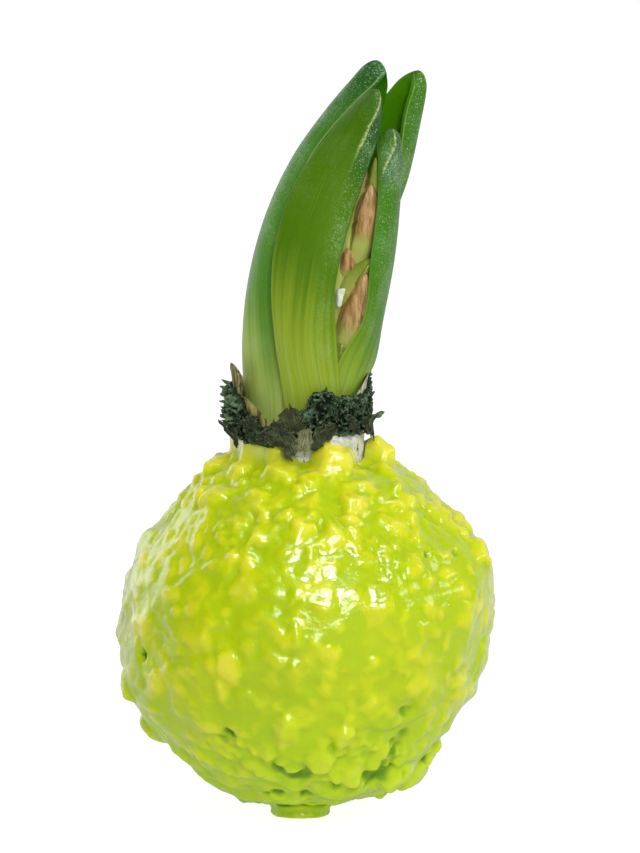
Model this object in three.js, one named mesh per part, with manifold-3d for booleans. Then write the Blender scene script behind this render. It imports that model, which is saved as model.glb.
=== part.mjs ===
// A waxed hyacinth bulb: a flower bulb dipped in a thick crumbly coat of green wax, with its shoot opening.
// Millimetres, +Z up. The origin is the middle of the flat wax foot, on the surface that the bulb stands on.
// +X is the side that the shoot leans to, and -Y is the side where the flower buds show between the leaves.
import * as THREE from "three";
import { mergeVertices } from "three/addons/utils/BufferGeometryUtils.js";
import Module from "manifold-3d";

const wasm = await Module();
wasm.setup();

// Driving dimensions of the coated bulb
const WAX_RADIUS = 33.3; // of the wax between its crumbs
const WAX_MIDDLE = 36; // height of the ball's middle
const WAX_DETAIL = 17; // steps along each edge of the icosahedron that the wax surface starts from
const FOOT_RADIUS = 5.8;
const FOOT_HEIGHT = 6; // its upper part is sunk in the ball
const BULB_RADIUS = 29.6;
const BULB_MIDDLE = 35.5; // height of the bulb's widest part
const BASE_PLATE_RADIUS = 7.5;
const BASE_PLATE_HEIGHT = 7.2;
const SHOULDER_RADIUS = 12.9; // where the bulb's body turns up into its neck
const SHOULDER_HEIGHT = 64.5;
const NECK_BOTTOM = 68;
const NECK_OFFSET = -1; // the neck stands this far to the left of the foot's middle
const NECK_RADIUS = 12;
const NECK_TOP = 73;
const SOCKET_RADIUS = 10.8; // the hollow in the neck that the leaves stand in
const SOCKET_FLOOR = 66;
const GAP = 0.3; // between neighbouring solids
const PAST = 1; // how far a cutting solid runs past the face that it cuts

// Turns a seed into a function that gives the same row of numbers from 0 to 1 each time.
function seeded(seed) {
  let state = seed >>> 0;
  return () => {
    state = (state + 0x6d2b79f5) >>> 0;
    let t = state;
    t = Math.imul(t ^ (t >>> 15), t | 1);
    t ^= t + Math.imul(t ^ (t >>> 7), t | 61);
    return ((t ^ (t >>> 14)) >>> 0) / 4294967296;
  };
}

const radians = THREE.MathUtils.degToRad;
const lerp = THREE.MathUtils.lerp;
const smoothstep = THREE.MathUtils.smoothstep;
const clamp = THREE.MathUtils.clamp;

// Solids and geometries
function solidOf(geometry) {
  const bare = geometry.clone();
  for (const name of Object.keys(bare.attributes)) {
    if (name !== "position") bare.deleteAttribute(name);
  }
  const merged = mergeVertices(bare, 1e-4);
  return new wasm.Manifold(
    new wasm.Mesh({
      numProp: 3,
      vertProperties: new Float32Array(merged.attributes.position.array),
      triVerts: new Uint32Array(merged.index.array),
    }),
  );
}

function geometryOf(solid) {
  const mesh = solid.getMesh();
  const geometry = new THREE.BufferGeometry();
  geometry.setAttribute("position", new THREE.BufferAttribute(mesh.vertProperties, 3));
  geometry.setIndex(new THREE.BufferAttribute(mesh.triVerts, 1));
  return geometry;
}

// The largest single body of a solid, so that a cut leaves no loose scrap.
function mainBody(solid) {
  return solid.decompose().reduce((a, b) => (a.volume() > b.volume() ? a : b));
}

// A solid with every corner moved out, which cuts the gap between it and its neighbour.
function grown(solid, distance = GAP) {
  const geometry = geometryOf(solid);
  geometry.computeVertexNormals();
  const place = geometry.getAttribute("position");
  const normal = geometry.getAttribute("normal");
  const corner = new THREE.Vector3();
  const outward = new THREE.Vector3();
  for (let i = 0; i < place.count; i++) {
    outward.fromBufferAttribute(normal, i);
    corner.fromBufferAttribute(place, i).addScaledVector(outward, 1.2 * distance);
    place.setXYZ(i, corner.x, corner.y, corner.z);
  }
  return solidOf(geometry);
}

function joined(solids) {
  return solids.reduce((whole, next) => whole.add(next));
}

// A closed solid through rings of points, each ring with the same count, capped at both ends.
function loft(rings) {
  const count = rings[0].length;
  const points = rings.flat();
  const faces = [];
  for (let r = 0; r + 1 < rings.length; r++) {
    for (let k = 0; k < count; k++) {
      const a = r * count + k;
      const b = r * count + ((k + 1) % count);
      faces.push(a, b, b + count, a, b + count, a + count);
    }
  }
  const last = (rings.length - 1) * count;
  for (let k = 1; k + 1 < count; k++) {
    faces.push(0, k + 1, k, last, last + k, last + k + 1);
  }
  const geometry = new THREE.BufferGeometry().setFromPoints(points);
  geometry.setIndex(faces);
  return geometry;
}

// A blade's ring runs along its outer face and back along its inner one, so its caps are strips.
function bladeLoft(rings) {
  const count = rings[0].length;
  const half = count / 2;
  const geometry = loft(rings);
  const sides = Array.from(geometry.index.array).slice(0, (rings.length - 1) * count * 6);
  const last = (rings.length - 1) * count;
  for (let k = 0; k + 1 < half; k++) {
    const a = k;
    const b = k + 1;
    const c = count - 2 - k;
    const d = count - 1 - k;
    sides.push(a, c, b, a, d, c);
    sides.push(last + a, last + b, last + c, last + a, last + c, last + d);
  }
  geometry.setIndex(sides);
  return geometry;
}

// The wax coat: a ball covered with crumbs. Each crumb is a low tilted plateau with a five-sided outline.
const CRUMB_COUNT = 640;
const CRUMB_SEED = 11;
const CRUMB_SIDES = 5;
const CRUMB_SLOPE = 1.3; // how steeply a crumb's sides fall
const LEAN = 1.5; // the ball bulges this much at its upper right and its lower left
const LEAN_HOLLOW = 0.4; // the other two corners are drawn in this share of the bulges' height
const LEAN_REACH = 0.7; // share of the ball's half height that the bulges keep within
const FLAT_BOTTOM = 0.9; // the ball is drawn in this much round the foot
const FLAT_RING = [26, 11]; // degrees from straight down between which it is drawn in
const BARE_RING = [24, 14]; // the crumbs die away between these, so that only the foot touches down
const CLIMB = 2.3; // the wax climbs this much up the neck
const CLIMB_RING = [32, 23]; // degrees from straight up between which it climbs
const LOW_RING = [30, 24]; // the crumbs sink to half their height between these

// Single forms in the wax by azimuth and elevation in degrees, half width and height in millimetres
const CHUNKS = [
  [-70, 67.5, 3.3, 3.4],
  [-98, 67, 2.6, 1.9],
  [-118, 66, 2.8, 2],
  [-35, 65, 2.4, 1.9],
  [4, 66, 1.9, 2.2],
  [-8, -41, 2.6, 2.5],
  [-12, -54, 3, 2.3],
  [-38, -50, 2.6, 1.9],
  [-62, -38, 2.7, 1.9],
  [-72, -44, 2.4, 1.9],
  [-12, 22, 2.8, 1.6],
  [-168, -20, 2.7, 1.5],
];
// Hollows by azimuth and elevation in degrees, radius and depth in millimetres
const HOLLOWS = [
  [-95, -42, 3.4, 1.7],
  [-54, -47, 3.6, 1.8],
  [-50, -31, 3, 1.5],
  [-29, 26, 1.8, 1.3],
  [-97, 12, 2.6, 0.7],
  [180, 37, 9, 1.7],
  [-4, -33, 6, 1.4],
];

function crumbs() {
  const random = seeded(CRUMB_SEED);
  const golden = Math.PI * (3 - Math.sqrt(5));
  const made = [];
  for (let i = 0; i < CRUMB_COUNT; i++) {
    const up = 1 - (2 * i + 1) / CRUMB_COUNT;
    const turn = golden * i + (random() - 0.5) * 0.12;
    const tilt = Math.acos(up) + (random() - 0.5) * 0.08;
    const middle = new THREE.Vector3().setFromSphericalCoords(1, tilt, turn);
    middle.set(middle.z, middle.x, middle.y);
    const east = new THREE.Vector3(0, 0, 1).cross(middle).normalize();
    const north = middle.clone().cross(east);
    const size = lerp(1.1, 2.5, random() ** 1.3);
    const first = random() * Math.PI * 2;
    const sides = [];
    for (let k = 0; k < CRUMB_SIDES; k++) {
      const angle = first + ((k + 0.6 * (random() - 0.5)) * Math.PI * 2) / CRUMB_SIDES;
      sides.push([Math.cos(angle), Math.sin(angle), size * lerp(0.7, 1.25, random())]);
    }
    const height = lerp(0.35, 1.9, random() ** 1.4);
    const slant = [(random() - 0.5) * 0.7, (random() - 0.5) * 0.7];
    made.push({ middle, east, north, sides, height, slant });
  }
  return made;
}

function directionOf(azimuth, elevation) {
  const flat = Math.cos(radians(elevation));
  return new THREE.Vector3(
    flat * Math.cos(radians(azimuth)),
    flat * Math.sin(radians(azimuth)),
    Math.sin(radians(elevation)),
  );
}

function chunks() {
  const random = seeded(CRUMB_SEED + 1);
  return CHUNKS.map(([azimuth, elevation, size, height]) => {
    const middle = directionOf(azimuth, elevation);
    const east = new THREE.Vector3(0, 0, 1).cross(middle).normalize();
    const north = middle.clone().cross(east);
    const sides = [];
    for (let k = 0; k < CRUMB_SIDES; k++) {
      const angle = 0.4 + ((k + 0.3 * random()) * Math.PI * 2) / CRUMB_SIDES;
      sides.push([Math.cos(angle), Math.sin(angle), size * lerp(0.8, 1.1, random())]);
    }
    return { middle, east, north, sides, height, slant: [0.08, -0.12] };
  });
}

const CRUMBS = crumbs();
const PLACED = chunks();
const CRUMB_REACH = Math.cos(radians(11));

// How far the tallest crumb of a list stands above the wax between crumbs at a direction.
function crumbHeight(list, direction) {
  let tallest = 0;
  for (const { middle, east, north, sides, height, slant } of list) {
    if (middle.dot(direction) < CRUMB_REACH) continue;
    const x = east.dot(direction) * WAX_RADIUS;
    const y = north.dot(direction) * WAX_RADIUS;
    let outside = -10;
    for (const [nx, ny, reach] of sides) {
      outside = Math.max(outside, x * nx + y * ny - reach);
    }
    const top = height + slant[0] * x + slant[1] * y;
    tallest = Math.max(tallest, top - CRUMB_SLOPE * Math.max(0, outside));
  }
  return tallest;
}

function hollowDepth(direction) {
  let depth = 0;
  for (const [azimuth, elevation, radius, deep] of HOLLOWS) {
    const away = direction.angleTo(directionOf(azimuth, elevation)) * WAX_RADIUS;
    depth = Math.max(depth, deep * (1 - smoothstep(away, 0.3 * radius, radius)));
  }
  return depth;
}

// Rises from 0 to 1 as a direction's share of up goes from the ring's first angle to its second.
function withinRing(up, [from, to]) {
  return smoothstep(up, Math.cos(radians(from)), Math.cos(radians(to)));
}

function waxRadius(direction) {
  const up = direction.z;
  const slope = direction.x * Math.sin(Math.PI * clamp(up / LEAN_REACH, -1, 1));
  const lean = LEAN * (slope > 0 ? slope : LEAN_HOLLOW * slope);
  const flat = FLAT_BOTTOM * withinRing(-up, FLAT_RING);
  const climb = CLIMB * withinRing(up, CLIMB_RING);
  const lowered = Math.max(withinRing(-up, BARE_RING), 0.5 * withinRing(up, LOW_RING));
  const small = crumbHeight(CRUMBS, direction) * (1 - lowered);
  const crumb = Math.max(small, crumbHeight(PLACED, direction));
  return WAX_RADIUS + lean - flat + climb + crumb - hollowDepth(direction);
}

function waxBall() {
  const geometry = new THREE.IcosahedronGeometry(1, WAX_DETAIL - 1);
  const place = geometry.getAttribute("position");
  const direction = new THREE.Vector3();
  const askew = new THREE.Euler(0.3, 0.5, 0.2); // keeps the icosahedron's corners off the poles
  for (let i = 0; i < place.count; i++) {
    direction.fromBufferAttribute(place, i).applyEuler(askew).normalize();
    const radius = waxRadius(direction);
    place.setXYZ(i, direction.x * radius, direction.y * radius, WAX_MIDDLE + direction.z * radius);
  }
  return solidOf(geometry);
}

// The foot is the puddle of wax that the dipped bulb was set down in.
const FOOT_SIDES = 20;
const FOOT_SEED = 5;
const FOOT_PROFILE = [
  // height, share of the foot's radius
  [0, 0.93],
  [0.7, 1],
  [2.6, 0.98],
  [FOOT_HEIGHT, 0.7],
];

function waxFoot() {
  const random = seeded(FOOT_SEED);
  const wobble = Array.from({ length: FOOT_SIDES }, () => lerp(0.94, 1.06, random()));
  const rings = FOOT_PROFILE.map(([z, share]) =>
    wobble.map((uneven, k) => {
      const angle = (k / FOOT_SIDES) * Math.PI * 2;
      const radius = FOOT_RADIUS * share * uneven;
      return new THREE.Vector3(radius * Math.cos(angle), radius * Math.sin(angle), z);
    }),
  );
  return solidOf(loft(rings));
}

// The bulb: a round body on a flat base plate, drawn up into a neck with a hollow for the shoot.
const BULB_SIDES = 40;
const BULB_ARC = [-68, 56]; // degrees above the widest part that the round body runs between
const BULB_ARC_STEPS = 9;

// The bulb without its hollow, with every face moved out by a distance and its neck as high as asked.
function bulbOuter(grow, top) {
  const profile = [
    new THREE.Vector2(0, BASE_PLATE_HEIGHT - grow),
    new THREE.Vector2(BASE_PLATE_RADIUS, BASE_PLATE_HEIGHT - grow),
  ];
  for (let k = 0; k <= BULB_ARC_STEPS; k++) {
    const angle = radians(lerp(...BULB_ARC, k / BULB_ARC_STEPS));
    const radius = BULB_RADIUS + grow;
    profile.push(
      new THREE.Vector2(radius * Math.cos(angle), BULB_MIDDLE + radius * Math.sin(angle)),
    );
  }
  profile.push(
    new THREE.Vector2(SHOULDER_RADIUS + grow, SHOULDER_HEIGHT + grow),
    new THREE.Vector2(NECK_RADIUS + grow, NECK_BOTTOM),
    new THREE.Vector2(NECK_RADIUS + grow, top),
    new THREE.Vector2(0, top),
  );
  const geometry = new THREE.LatheGeometry(profile, BULB_SIDES);
  geometry.rotateX(Math.PI / 2);
  geometry.translate(NECK_OFFSET, 0, 0);
  return solidOf(geometry);
}

// A round post in line with the neck.
function post(radius, bottom, top) {
  const geometry = new THREE.CylinderGeometry(radius, radius, top - bottom, BULB_SIDES);
  geometry.rotateX(Math.PI / 2);
  geometry.translate(NECK_OFFSET, 0, (top + bottom) / 2);
  return solidOf(geometry);
}

function makeBulb() {
  const hollow = post(SOCKET_RADIUS, SOCKET_FLOOR, NECK_TOP + PAST);
  return bulbOuter(0, NECK_TOP).subtract(hollow);
}

// The neck's rim grown by the gap, which the shoot is cut back by.
function rimAround() {
  const outer = post(NECK_RADIUS + PAST, SOCKET_FLOOR - PAST, NECK_TOP + GAP);
  return outer.subtract(post(SOCKET_RADIUS - GAP, SOCKET_FLOOR - 2 * PAST, NECK_TOP + 2 * PAST));
}

function makeWaxCoat() {
  const whole = waxBall().add(waxFoot());
  const room = bulbOuter(GAP, NECK_TOP + PAST).add(grown(tunicRing()));
  return mainBody(whole.subtract(room));
}

// The leaves. Each is a gutter-shaped blade, given by stations from its base to its hooded tip. A station
// holds the first margin, the keel and the second margin of the outer face, anticlockwise from above.
const LEAVES = {
  leaf_front: {
    thickness: 2.2,
    stations: [
      [[-4, -9.8, 66.3], [1.5, -10, 66.3], [6.2, -7.2, 66.3]],
      [[-3.4, -10.1, 77], [2, -10.4, 77], [6.6, -7.5, 77]],
      [[-5.3, -10.8, 90.4], [0.2, -12.4, 90.6], [5.9, -11, 90.4]],
      [[-6.1, -10.6, 100], [1, -13.2, 100.3], [5.6, -11.5, 100.1]],
      [[-5.4, -9.9, 108.5], [2.6, -13, 108.9], [7.3, -11, 108.6]],
      [[-1.5, -8.6, 120.4], [6.8, -11.8, 120.8], [11, -9.1, 120.5]],
      [[5, -6.6, 129.2], [11, -9.6, 129.6], [13.8, -6.8, 129.2]],
      [[8.6, -5.6, 133.4], [12.2, -8.4, 133.8], [14.4, -6, 133.4]],
      [[11.6, -5.2, 136], [12.9, -6.6, 136.2], [14, -5.4, 136]],
    ],
  },
  leaf_left: {
    thickness: 2.3,
    stations: [
      [[-2, 10.1, 66.3], [-11.1, 1.5, 66.3], [-4, -8.3, 66.3]],
      [[-1.4, 10.8, 77], [-11.3, 1.5, 77], [-2.9, -8.5, 77]],
      [[0.2, 11.6, 87.3], [-11.5, 1.5, 88.7], [-4.2, -8.7, 90.2]],
      [[2.5, 11.2, 98.4], [-10.1, 1.8, 99.7], [-5, -8.7, 101.2]],
      [[5.5, 9.5, 110.8], [-6.7, 2, 111.8], [-3.2, -7.4, 113.2]],
      [[10.2, 7, 122.2], [-1.4, 2.3, 122.9], [0.9, -5.4, 124]],
      [[14.2, 3.8, 132.2], [4.7, 2.2, 132.5], [8.4, -3.2, 133.3]],
      [[14.9, 2.8, 137.4], [9.2, 1.8, 138.8], [12.8, -1.8, 137.6]],
      [[14.2, 1.6, 141.2], [12.6, 1.4, 141.8], [13.4, 0, 141.4]],
    ],
  },
  leaf_right: {
    thickness: 2,
    stations: [
      [[3.2, -7.9, 66.3], [8.5, -3.6, 66.3], [8.5, 3.5, 66.3]],
      [[4.2, -7.5, 77], [9.1, -3.6, 77], [9.1, 3.6, 77]],
      [[5, -8, 81], [10.2, -3.6, 81], [10.2, 3.8, 81]],
      [[6.3, -8.9, 86.5], [12.2, -3.5, 85.6], [12, 4.2, 84.6]],
      [[10.7, -8.8, 94.2], [14.2, -3.6, 93.4], [13.6, 4.5, 92.3]],
      [[12.2, -8.6, 105.8], [16.3, -4, 105.1], [15.5, 4.2, 104]],
      [[13.4, -7.4, 115.8], [17.3, -4, 115.3], [16.6, 3, 114.3]],
      [[13.5, -6, 123.1], [17.4, -4.6, 122.9], [17.2, 1, 122.1]],
      [[13.9, -5.2, 126.4], [17, -4.8, 126.6], [17.2, -0.6, 126]],
      [[15.1, -4.4, 128.9], [16, -4.6, 129], [16.3, -2.8, 128.8]],
    ],
  },
  leaf_back: {
    thickness: 2.2,
    stations: [
      [[7.5, 0.8, 66.3], [4.7, 8.4, 66.3], [-3.2, 8.4, 66.3]],
      [[8.3, 0.8, 77], [5.5, 9, 77], [-2.6, 8.9, 77]],
      [[10.5, 1, 88.7], [8, 9.8, 87.5], [-1.2, 9.5, 87.5]],
      [[12.9, 1.2, 99.9], [11.4, 9.4, 98.7], [1.2, 9, 98.7]],
      [[14.8, 1.6, 111], [14.6, 8.4, 109.9], [4.5, 7.6, 110]],
      [[17.2, 2.6, 119.8], [18.2, 8, 119.1], [8.5, 7.3, 119.3]],
      [[18.8, 1.6, 131.1], [21, 5.6, 130.5], [12.5, 6.4, 130.4]],
      [[20, 1.4, 136], [22.2, 3.8, 135.6], [15.9, 5.2, 135.6]],
      [[20.8, 2, 139.1], [21.9, 3, 139], [20, 3.6, 138.9]],
    ],
  },
};
// The dead scale tips stand on the neck's rim, between the leaves and the ring of dead skin. A station
// holds its height and half turn to each side, and the middle's compass angle and distance from the neck.
const SCALES = {
  dry_scale_left: [
    // height at each margin and at the middle, compass angles in degrees, distance from the neck's middle
    [[73.3, 73.3, 73.3], [181, 193, 205], 12],
    [[80, 80.2, 80], [182, 193, 204], 12.3],
    [[83.8, 84.8, 84.6], [185, 193, 200], 12.9],
  ],
  dry_scale_front: [
    [[73.3, 73.9, 74.6], [238, 242, 246], 12],
    [[75.8, 76.5, 77.2], [225, 229, 233], 12.1],
    [[79, 79.6, 80], [212, 215, 218], 12.4],
  ],
  pale_scale_right: [
    [[73.3, 73.3, 73.3], [-34, -18, -2], 12],
    [[79.4, 80, 80.4], [-30, -16, -2], 12.3],
    [[82.6, 83.8, 83.8], [-24, -13, -3], 13.1],
  ],
};
const SCALE_THICKNESS = 0.65;

const LEAF_STEPS = 22;
const LEAF_COLUMNS = 8; // an even number, so that one line of points runs down the keel
const LEAF_WRAP = radians(66); // how far a leaf's section bends each way from its keel
const MARGIN_THICKNESS = 0.7;
const THICKEST_SHARE = 0.45; // of the way to the middle of the section, however thick the leaf is

// A smooth curve through one of a leaf's three lines of points.
function guide(stations, index) {
  const curve = new THREE.CatmullRomCurve3(
    stations.map((station) => new THREE.Vector3(...station[index])),
    false,
    "centripetal",
  );
  return (t) => curve.getPoint(t);
}

// The outer face of a leaf as a function: t runs from base to tip, u from -1 at one margin to 1 at the other.
function leafFace({ stations }) {
  const [first, keel, second] = [0, 1, 2].map((index) => guide(stations, index));
  const lastSpan = 1 / (stations.length - 1);
  return (t, u) => {
    const a = first(t);
    const b = second(t);
    const middle = a.clone().add(b).multiplyScalar(0.5);
    const across = b.sub(a).multiplyScalar(0.5);
    const rise = keel(t).sub(middle);
    const near = Math.max(0, (t - (1 - lastSpan)) / lastSpan);
    const rounding = Math.sqrt(Math.max(0, 1 - near * near));
    const angle = u * LEAF_WRAP;
    const bend = (Math.cos(angle) - Math.cos(LEAF_WRAP)) / (1 - Math.cos(LEAF_WRAP));
    return middle
      .addScaledVector(across, (rounding * Math.sin(angle)) / Math.sin(LEAF_WRAP))
      .addScaledVector(rise, rounding * bend);
  };
}

// A leaf's section is an arc of an ellipse, and its inner face is drawn in towards the ellipse's middle, so
// that the two faces never cross.
function leafRing(face, thickness, t, columns) {
  const [first, keel, second] = [-1, 0, 1].map((u) => face(t, u));
  const chord = first.clone().add(second).multiplyScalar(0.5);
  const beyond = Math.cos(LEAF_WRAP) / (1 - Math.cos(LEAF_WRAP));
  const middle = chord.clone().addScaledVector(keel.clone().sub(chord), -beyond);
  const atMargin = Math.min(MARGIN_THICKNESS / first.distanceTo(middle), THICKEST_SHARE);
  const atKeel = Math.min(thickness / keel.distanceTo(middle), THICKEST_SHARE);
  const outer = [];
  const inner = [];
  for (let k = 0; k <= columns; k++) {
    const u = (2 * k) / columns - 1;
    const point = face(t, u);
    outer.push(point);
    inner.push(point.clone().lerp(middle, lerp(atMargin, atKeel, Math.sqrt(1 - u * u))));
  }
  return outer.concat(inner.reverse());
}

function leafSolid({ stations, thickness, steps = LEAF_STEPS, columns = LEAF_COLUMNS }) {
  const face = leafFace({ stations });
  const lastSpan = 1 / (stations.length - 1);
  const rings = [];
  for (let k = 0; k <= steps; k++) {
    const even = k / steps;
    const tip = Math.max(0, (even - (1 - lastSpan)) / lastSpan);
    const rounded = 1 - lastSpan + lastSpan * 0.985 * Math.sin((tip * Math.PI) / 2);
    rings.push(leafRing(face, thickness, tip > 0 ? rounded : even, columns));
  }
  return solidOf(bladeLoft(rings));
}

function scaleSolid(name) {
  const stations = SCALES[name].map(([heights, angles, distance]) =>
    heights.map((z, i) => [
      NECK_OFFSET + distance * Math.cos(radians(angles[i])),
      distance * Math.sin(radians(angles[i])),
      z,
    ]),
  );
  return leafSolid({ stations, thickness: SCALE_THICKNESS, steps: 5, columns: 4 });
}

// The flower spike: a stem with a cone of closed buds set round it in a spiral.
const SPIKE_LINE = [
  [-0.5, 0, 66.3],
  [0.6, 0, 78],
  [4, -1.4, 93],
  [7.2, -2.2, 106],
  [11.2, -3, 118],
];
const BUD_COUNT = 24;
const BUD_SIDES = 5;
const BUD_LENGTH = 12;
const BUD_RADIUS = 3;
const FIRST_BUD = 0.22; // share of the spike's line where the buds begin
const STEM_RADIUS = 3.6;
const SPIKE_RADIUS = 4.8; // of the core that the buds stand out of
const SPIKE_TIP_RADIUS = 1.2;
const SPIKE_STEPS = 10;
const SPIKE_SIDES = 10;
const SPIKE_SEED = 23;
const BUD_PROFILE = [
  // share of the bud's length, share of its radius
  [0, 0.5],
  [0.25, 0.95],
  [0.55, 1],
  [0.85, 0.55],
  [1, 0.12],
];

function spikeLine() {
  return new THREE.CatmullRomCurve3(SPIKE_LINE.map((point) => new THREE.Vector3(...point)));
}

function spikeRadius(t) {
  if (t < FIRST_BUD) return STEM_RADIUS;
  const share = (t - FIRST_BUD) / (1 - FIRST_BUD);
  return lerp(SPIKE_RADIUS, SPIKE_TIP_RADIUS, share ** 1.8);
}

function spikeCore() {
  const line = spikeLine();
  const rings = [];
  for (let k = 0; k <= SPIKE_STEPS; k++) {
    const middle = line.getPoint(k / SPIKE_STEPS);
    const radius = spikeRadius(k / SPIKE_STEPS);
    const ring = [];
    for (let j = 0; j < SPIKE_SIDES; j++) {
      const angle = (j / SPIKE_SIDES) * Math.PI * 2;
      const outward = new THREE.Vector3(Math.cos(angle), Math.sin(angle), 0);
      ring.push(middle.clone().addScaledVector(outward, radius));
    }
    rings.push(ring);
  }
  return solidOf(loft(rings));
}

// One closed bud that stands on the origin along +Z.
function budShape(size) {
  const rings = BUD_PROFILE.map(([share, wide]) => {
    const ring = [];
    for (let j = 0; j < BUD_SIDES; j++) {
      const angle = (j / BUD_SIDES) * Math.PI * 2;
      const radius = BUD_RADIUS * size * wide;
      const height = BUD_LENGTH * size * share;
      ring.push(new THREE.Vector3(radius * Math.cos(angle), radius * Math.sin(angle), height));
    }
    return ring;
  });
  return loft(rings);
}

function makeSpike() {
  const random = seeded(SPIKE_SEED);
  const line = spikeLine();
  const golden = Math.PI * (3 - Math.sqrt(5));
  const parts = [spikeCore()];
  for (let i = 0; i < BUD_COUNT; i++) {
    const share = i / (BUD_COUNT - 1);
    const t = lerp(FIRST_BUD, 0.97, share);
    const size = lerp(1, 0.62, share ** 2) * lerp(0.92, 1.08, random());
    const outward = new THREE.Vector3(Math.cos(golden * i), Math.sin(golden * i), 0);
    const splay = lerp(0.34, 0.1, share);
    const heading = line.getTangent(t).addScaledVector(outward, splay).normalize();
    const turn = new THREE.Quaternion().setFromUnitVectors(new THREE.Vector3(0, 0, 1), heading);
    const start = line.getPoint(t).addScaledVector(outward, spikeRadius(t) * 0.8);
    const bud = budShape(size);
    bud.rotateZ(random() * Math.PI);
    bud.applyQuaternion(turn);
    bud.translate(start.x, start.y, start.z);
    parts.push(solidOf(bud));
  }
  return joined(parts);
}

// The dead skin round the neck: a ragged ring, thick and flared at the left, thin at the right.
const TUNIC_COLUMNS = 64;
const TUNIC_ROWS = 7;
const TUNIC_SEED = 41;
const TUNIC_INNER = NECK_RADIUS + GAP;
const TUNIC_THINNEST = 0.7;
const TUNIC_CRUMB = 1.3; // how much its crumbs roughen the ring
const TUNIC_RAGGED_TOP = 2.4; // how much its edges go up and down
const TUNIC_RAGGED_BOTTOM = 1.2;

// Lower edge, upper edge and outer radius of the ring by compass angle, 0 at +X and anticlockwise
const TUNIC_STATIONS = [
  [0, 71.6, 82.6, 13.2],
  [60, 70.6, 79, 13.8],
  [120, 70.2, 79, 14.4],
  [165, 70.7, 81.6, 13.9],
  [190, 70.7, 83, 14.1],
  [207, 70.7, 82.4, 14.2],
  [225, 70.6, 78.2, 14.3],
  [240, 70.4, 75, 14.4],
  [259, 70.5, 76.6, 14.3],
  [270, 71, 79.2, 14.2],
  [284, 72, 82, 14.1],
  [307, 72.4, 80.6, 13.8],
  [345, 72.2, 80.6, 13.4],
];

function tunicAt(angle) {
  const degrees = ((THREE.MathUtils.radToDeg(angle) % 360) + 360) % 360;
  const stations = [...TUNIC_STATIONS, [360, ...TUNIC_STATIONS[0].slice(1)]];
  const next = stations.findIndex((station) => station[0] > degrees);
  const [from, to] = [stations[next - 1], stations[next]];
  const share = smoothstep(degrees, from[0], to[0]);
  return [1, 2, 3].map((i) => lerp(from[i], to[i], share));
}

function tunicRing() {
  const random = seeded(TUNIC_SEED);
  const rings = [];
  for (let k = 0; k < TUNIC_COLUMNS; k++) {
    const angle = (k / TUNIC_COLUMNS) * Math.PI * 2;
    const [low, high, reach] = tunicAt(angle);
    const bottom = low + TUNIC_RAGGED_BOTTOM * (random() - 0.5);
    const top = high + TUNIC_RAGGED_TOP * (random() - 0.5);
    const section = [];
    for (let r = 0; r < TUNIC_ROWS; r++) {
      const share = r / (TUNIC_ROWS - 1);
      const belly = Math.sin(Math.PI * lerp(0.12, 0.88, share));
      const crumb = TUNIC_CRUMB * (random() - 0.35) * belly;
      const radius = lerp(TUNIC_INNER, reach, belly) + crumb;
      section.push([Math.max(TUNIC_INNER + TUNIC_THINNEST, radius), lerp(bottom, top, share)]);
    }
    section.push([TUNIC_INNER, top - 0.4], [TUNIC_INNER, bottom + 0.3]);
    const place = ([radius, z]) =>
      new THREE.Vector3(NECK_OFFSET + radius * Math.cos(angle), radius * Math.sin(angle), z);
    rings.push(section.map(place));
  }
  return hoop(rings);
}

// A closed ring solid: like a loft whose last ring joins its first.
function hoop(rings) {
  const count = rings[0].length;
  const total = rings.length;
  const faces = [];
  for (let r = 0; r < total; r++) {
    for (let k = 0; k < count; k++) {
      const a = r * count + k;
      const b = r * count + ((k + 1) % count);
      const c = ((r + 1) % total) * count + ((k + 1) % count);
      const d = ((r + 1) % total) * count + k;
      faces.push(a, c, b, a, d, c);
    }
  }
  const geometry = new THREE.BufferGeometry().setFromPoints(rings.flat());
  geometry.setIndex(faces);
  return solidOf(geometry);
}

// Materials
function material(color, roughness) {
  return new THREE.MeshStandardMaterial({ color, roughness, metalness: 0 });
}

const WAX = material(0xb9d11f, 0.25);
const PAPER_SKIN = material(0xb9bda2, 0.7);
const DARK_SKIN = material(0x2c3b25, 0.9);
const DRY_SCALE = material(0x86803e, 0.75);
const PALE_SCALE = material(0xc9ccb4, 0.7);
const LEAF = material(0x55862a, 0.4);
const BUD = material(0x95834a, 0.55);

const hyacinth = new THREE.Group();

function place(name, solid, finish) {
  const mesh = new THREE.Mesh(geometryOf(solid), finish);
  mesh.name = name;
  hyacinth.add(mesh);
}

place("wax_coat", makeWaxCoat(), WAX);
place("bulb", makeBulb(), PAPER_SKIN);

// Each leaf is cut back by the neck's rim and by the leaves that lie over it, so that a gap stays between.
const rim = rimAround();
const covers = {
  leaf_front: [],
  leaf_left: ["leaf_front"],
  leaf_right: ["leaf_front"],
  leaf_back: ["leaf_front", "leaf_left", "leaf_right"],
};
const roomFor = {};
for (const [name, over] of Object.entries(covers)) {
  const leaf = leafSolid(LEAVES[name]);
  roomFor[name] = grown(leaf);
  const cut = over.reduce((rest, cover) => rest.subtract(roomFor[cover]), leaf.subtract(rim));
  place(name, mainBody(cut), LEAF);
}
const leafRoom = Object.values(roomFor);
const cutBack = (solid) => leafRoom.reduce((rest, room) => rest.subtract(room), solid);
place("flower_spike", mainBody(cutBack(makeSpike())), BUD);

let tunic = cutBack(tunicRing());
for (const name of Object.keys(SCALES)) {
  const scale = scaleSolid(name);
  tunic = tunic.subtract(grown(scale));
  const finish = name === "pale_scale_right" ? PALE_SCALE : DRY_SCALE;
  place(name, mainBody(cutBack(scale)), finish);
}
place("neck_tunic", mainBody(tunic), DARK_SKIN);

export default hyacinth;
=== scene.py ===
import math

import bpy
import numpy as np
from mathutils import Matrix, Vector, noise


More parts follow.
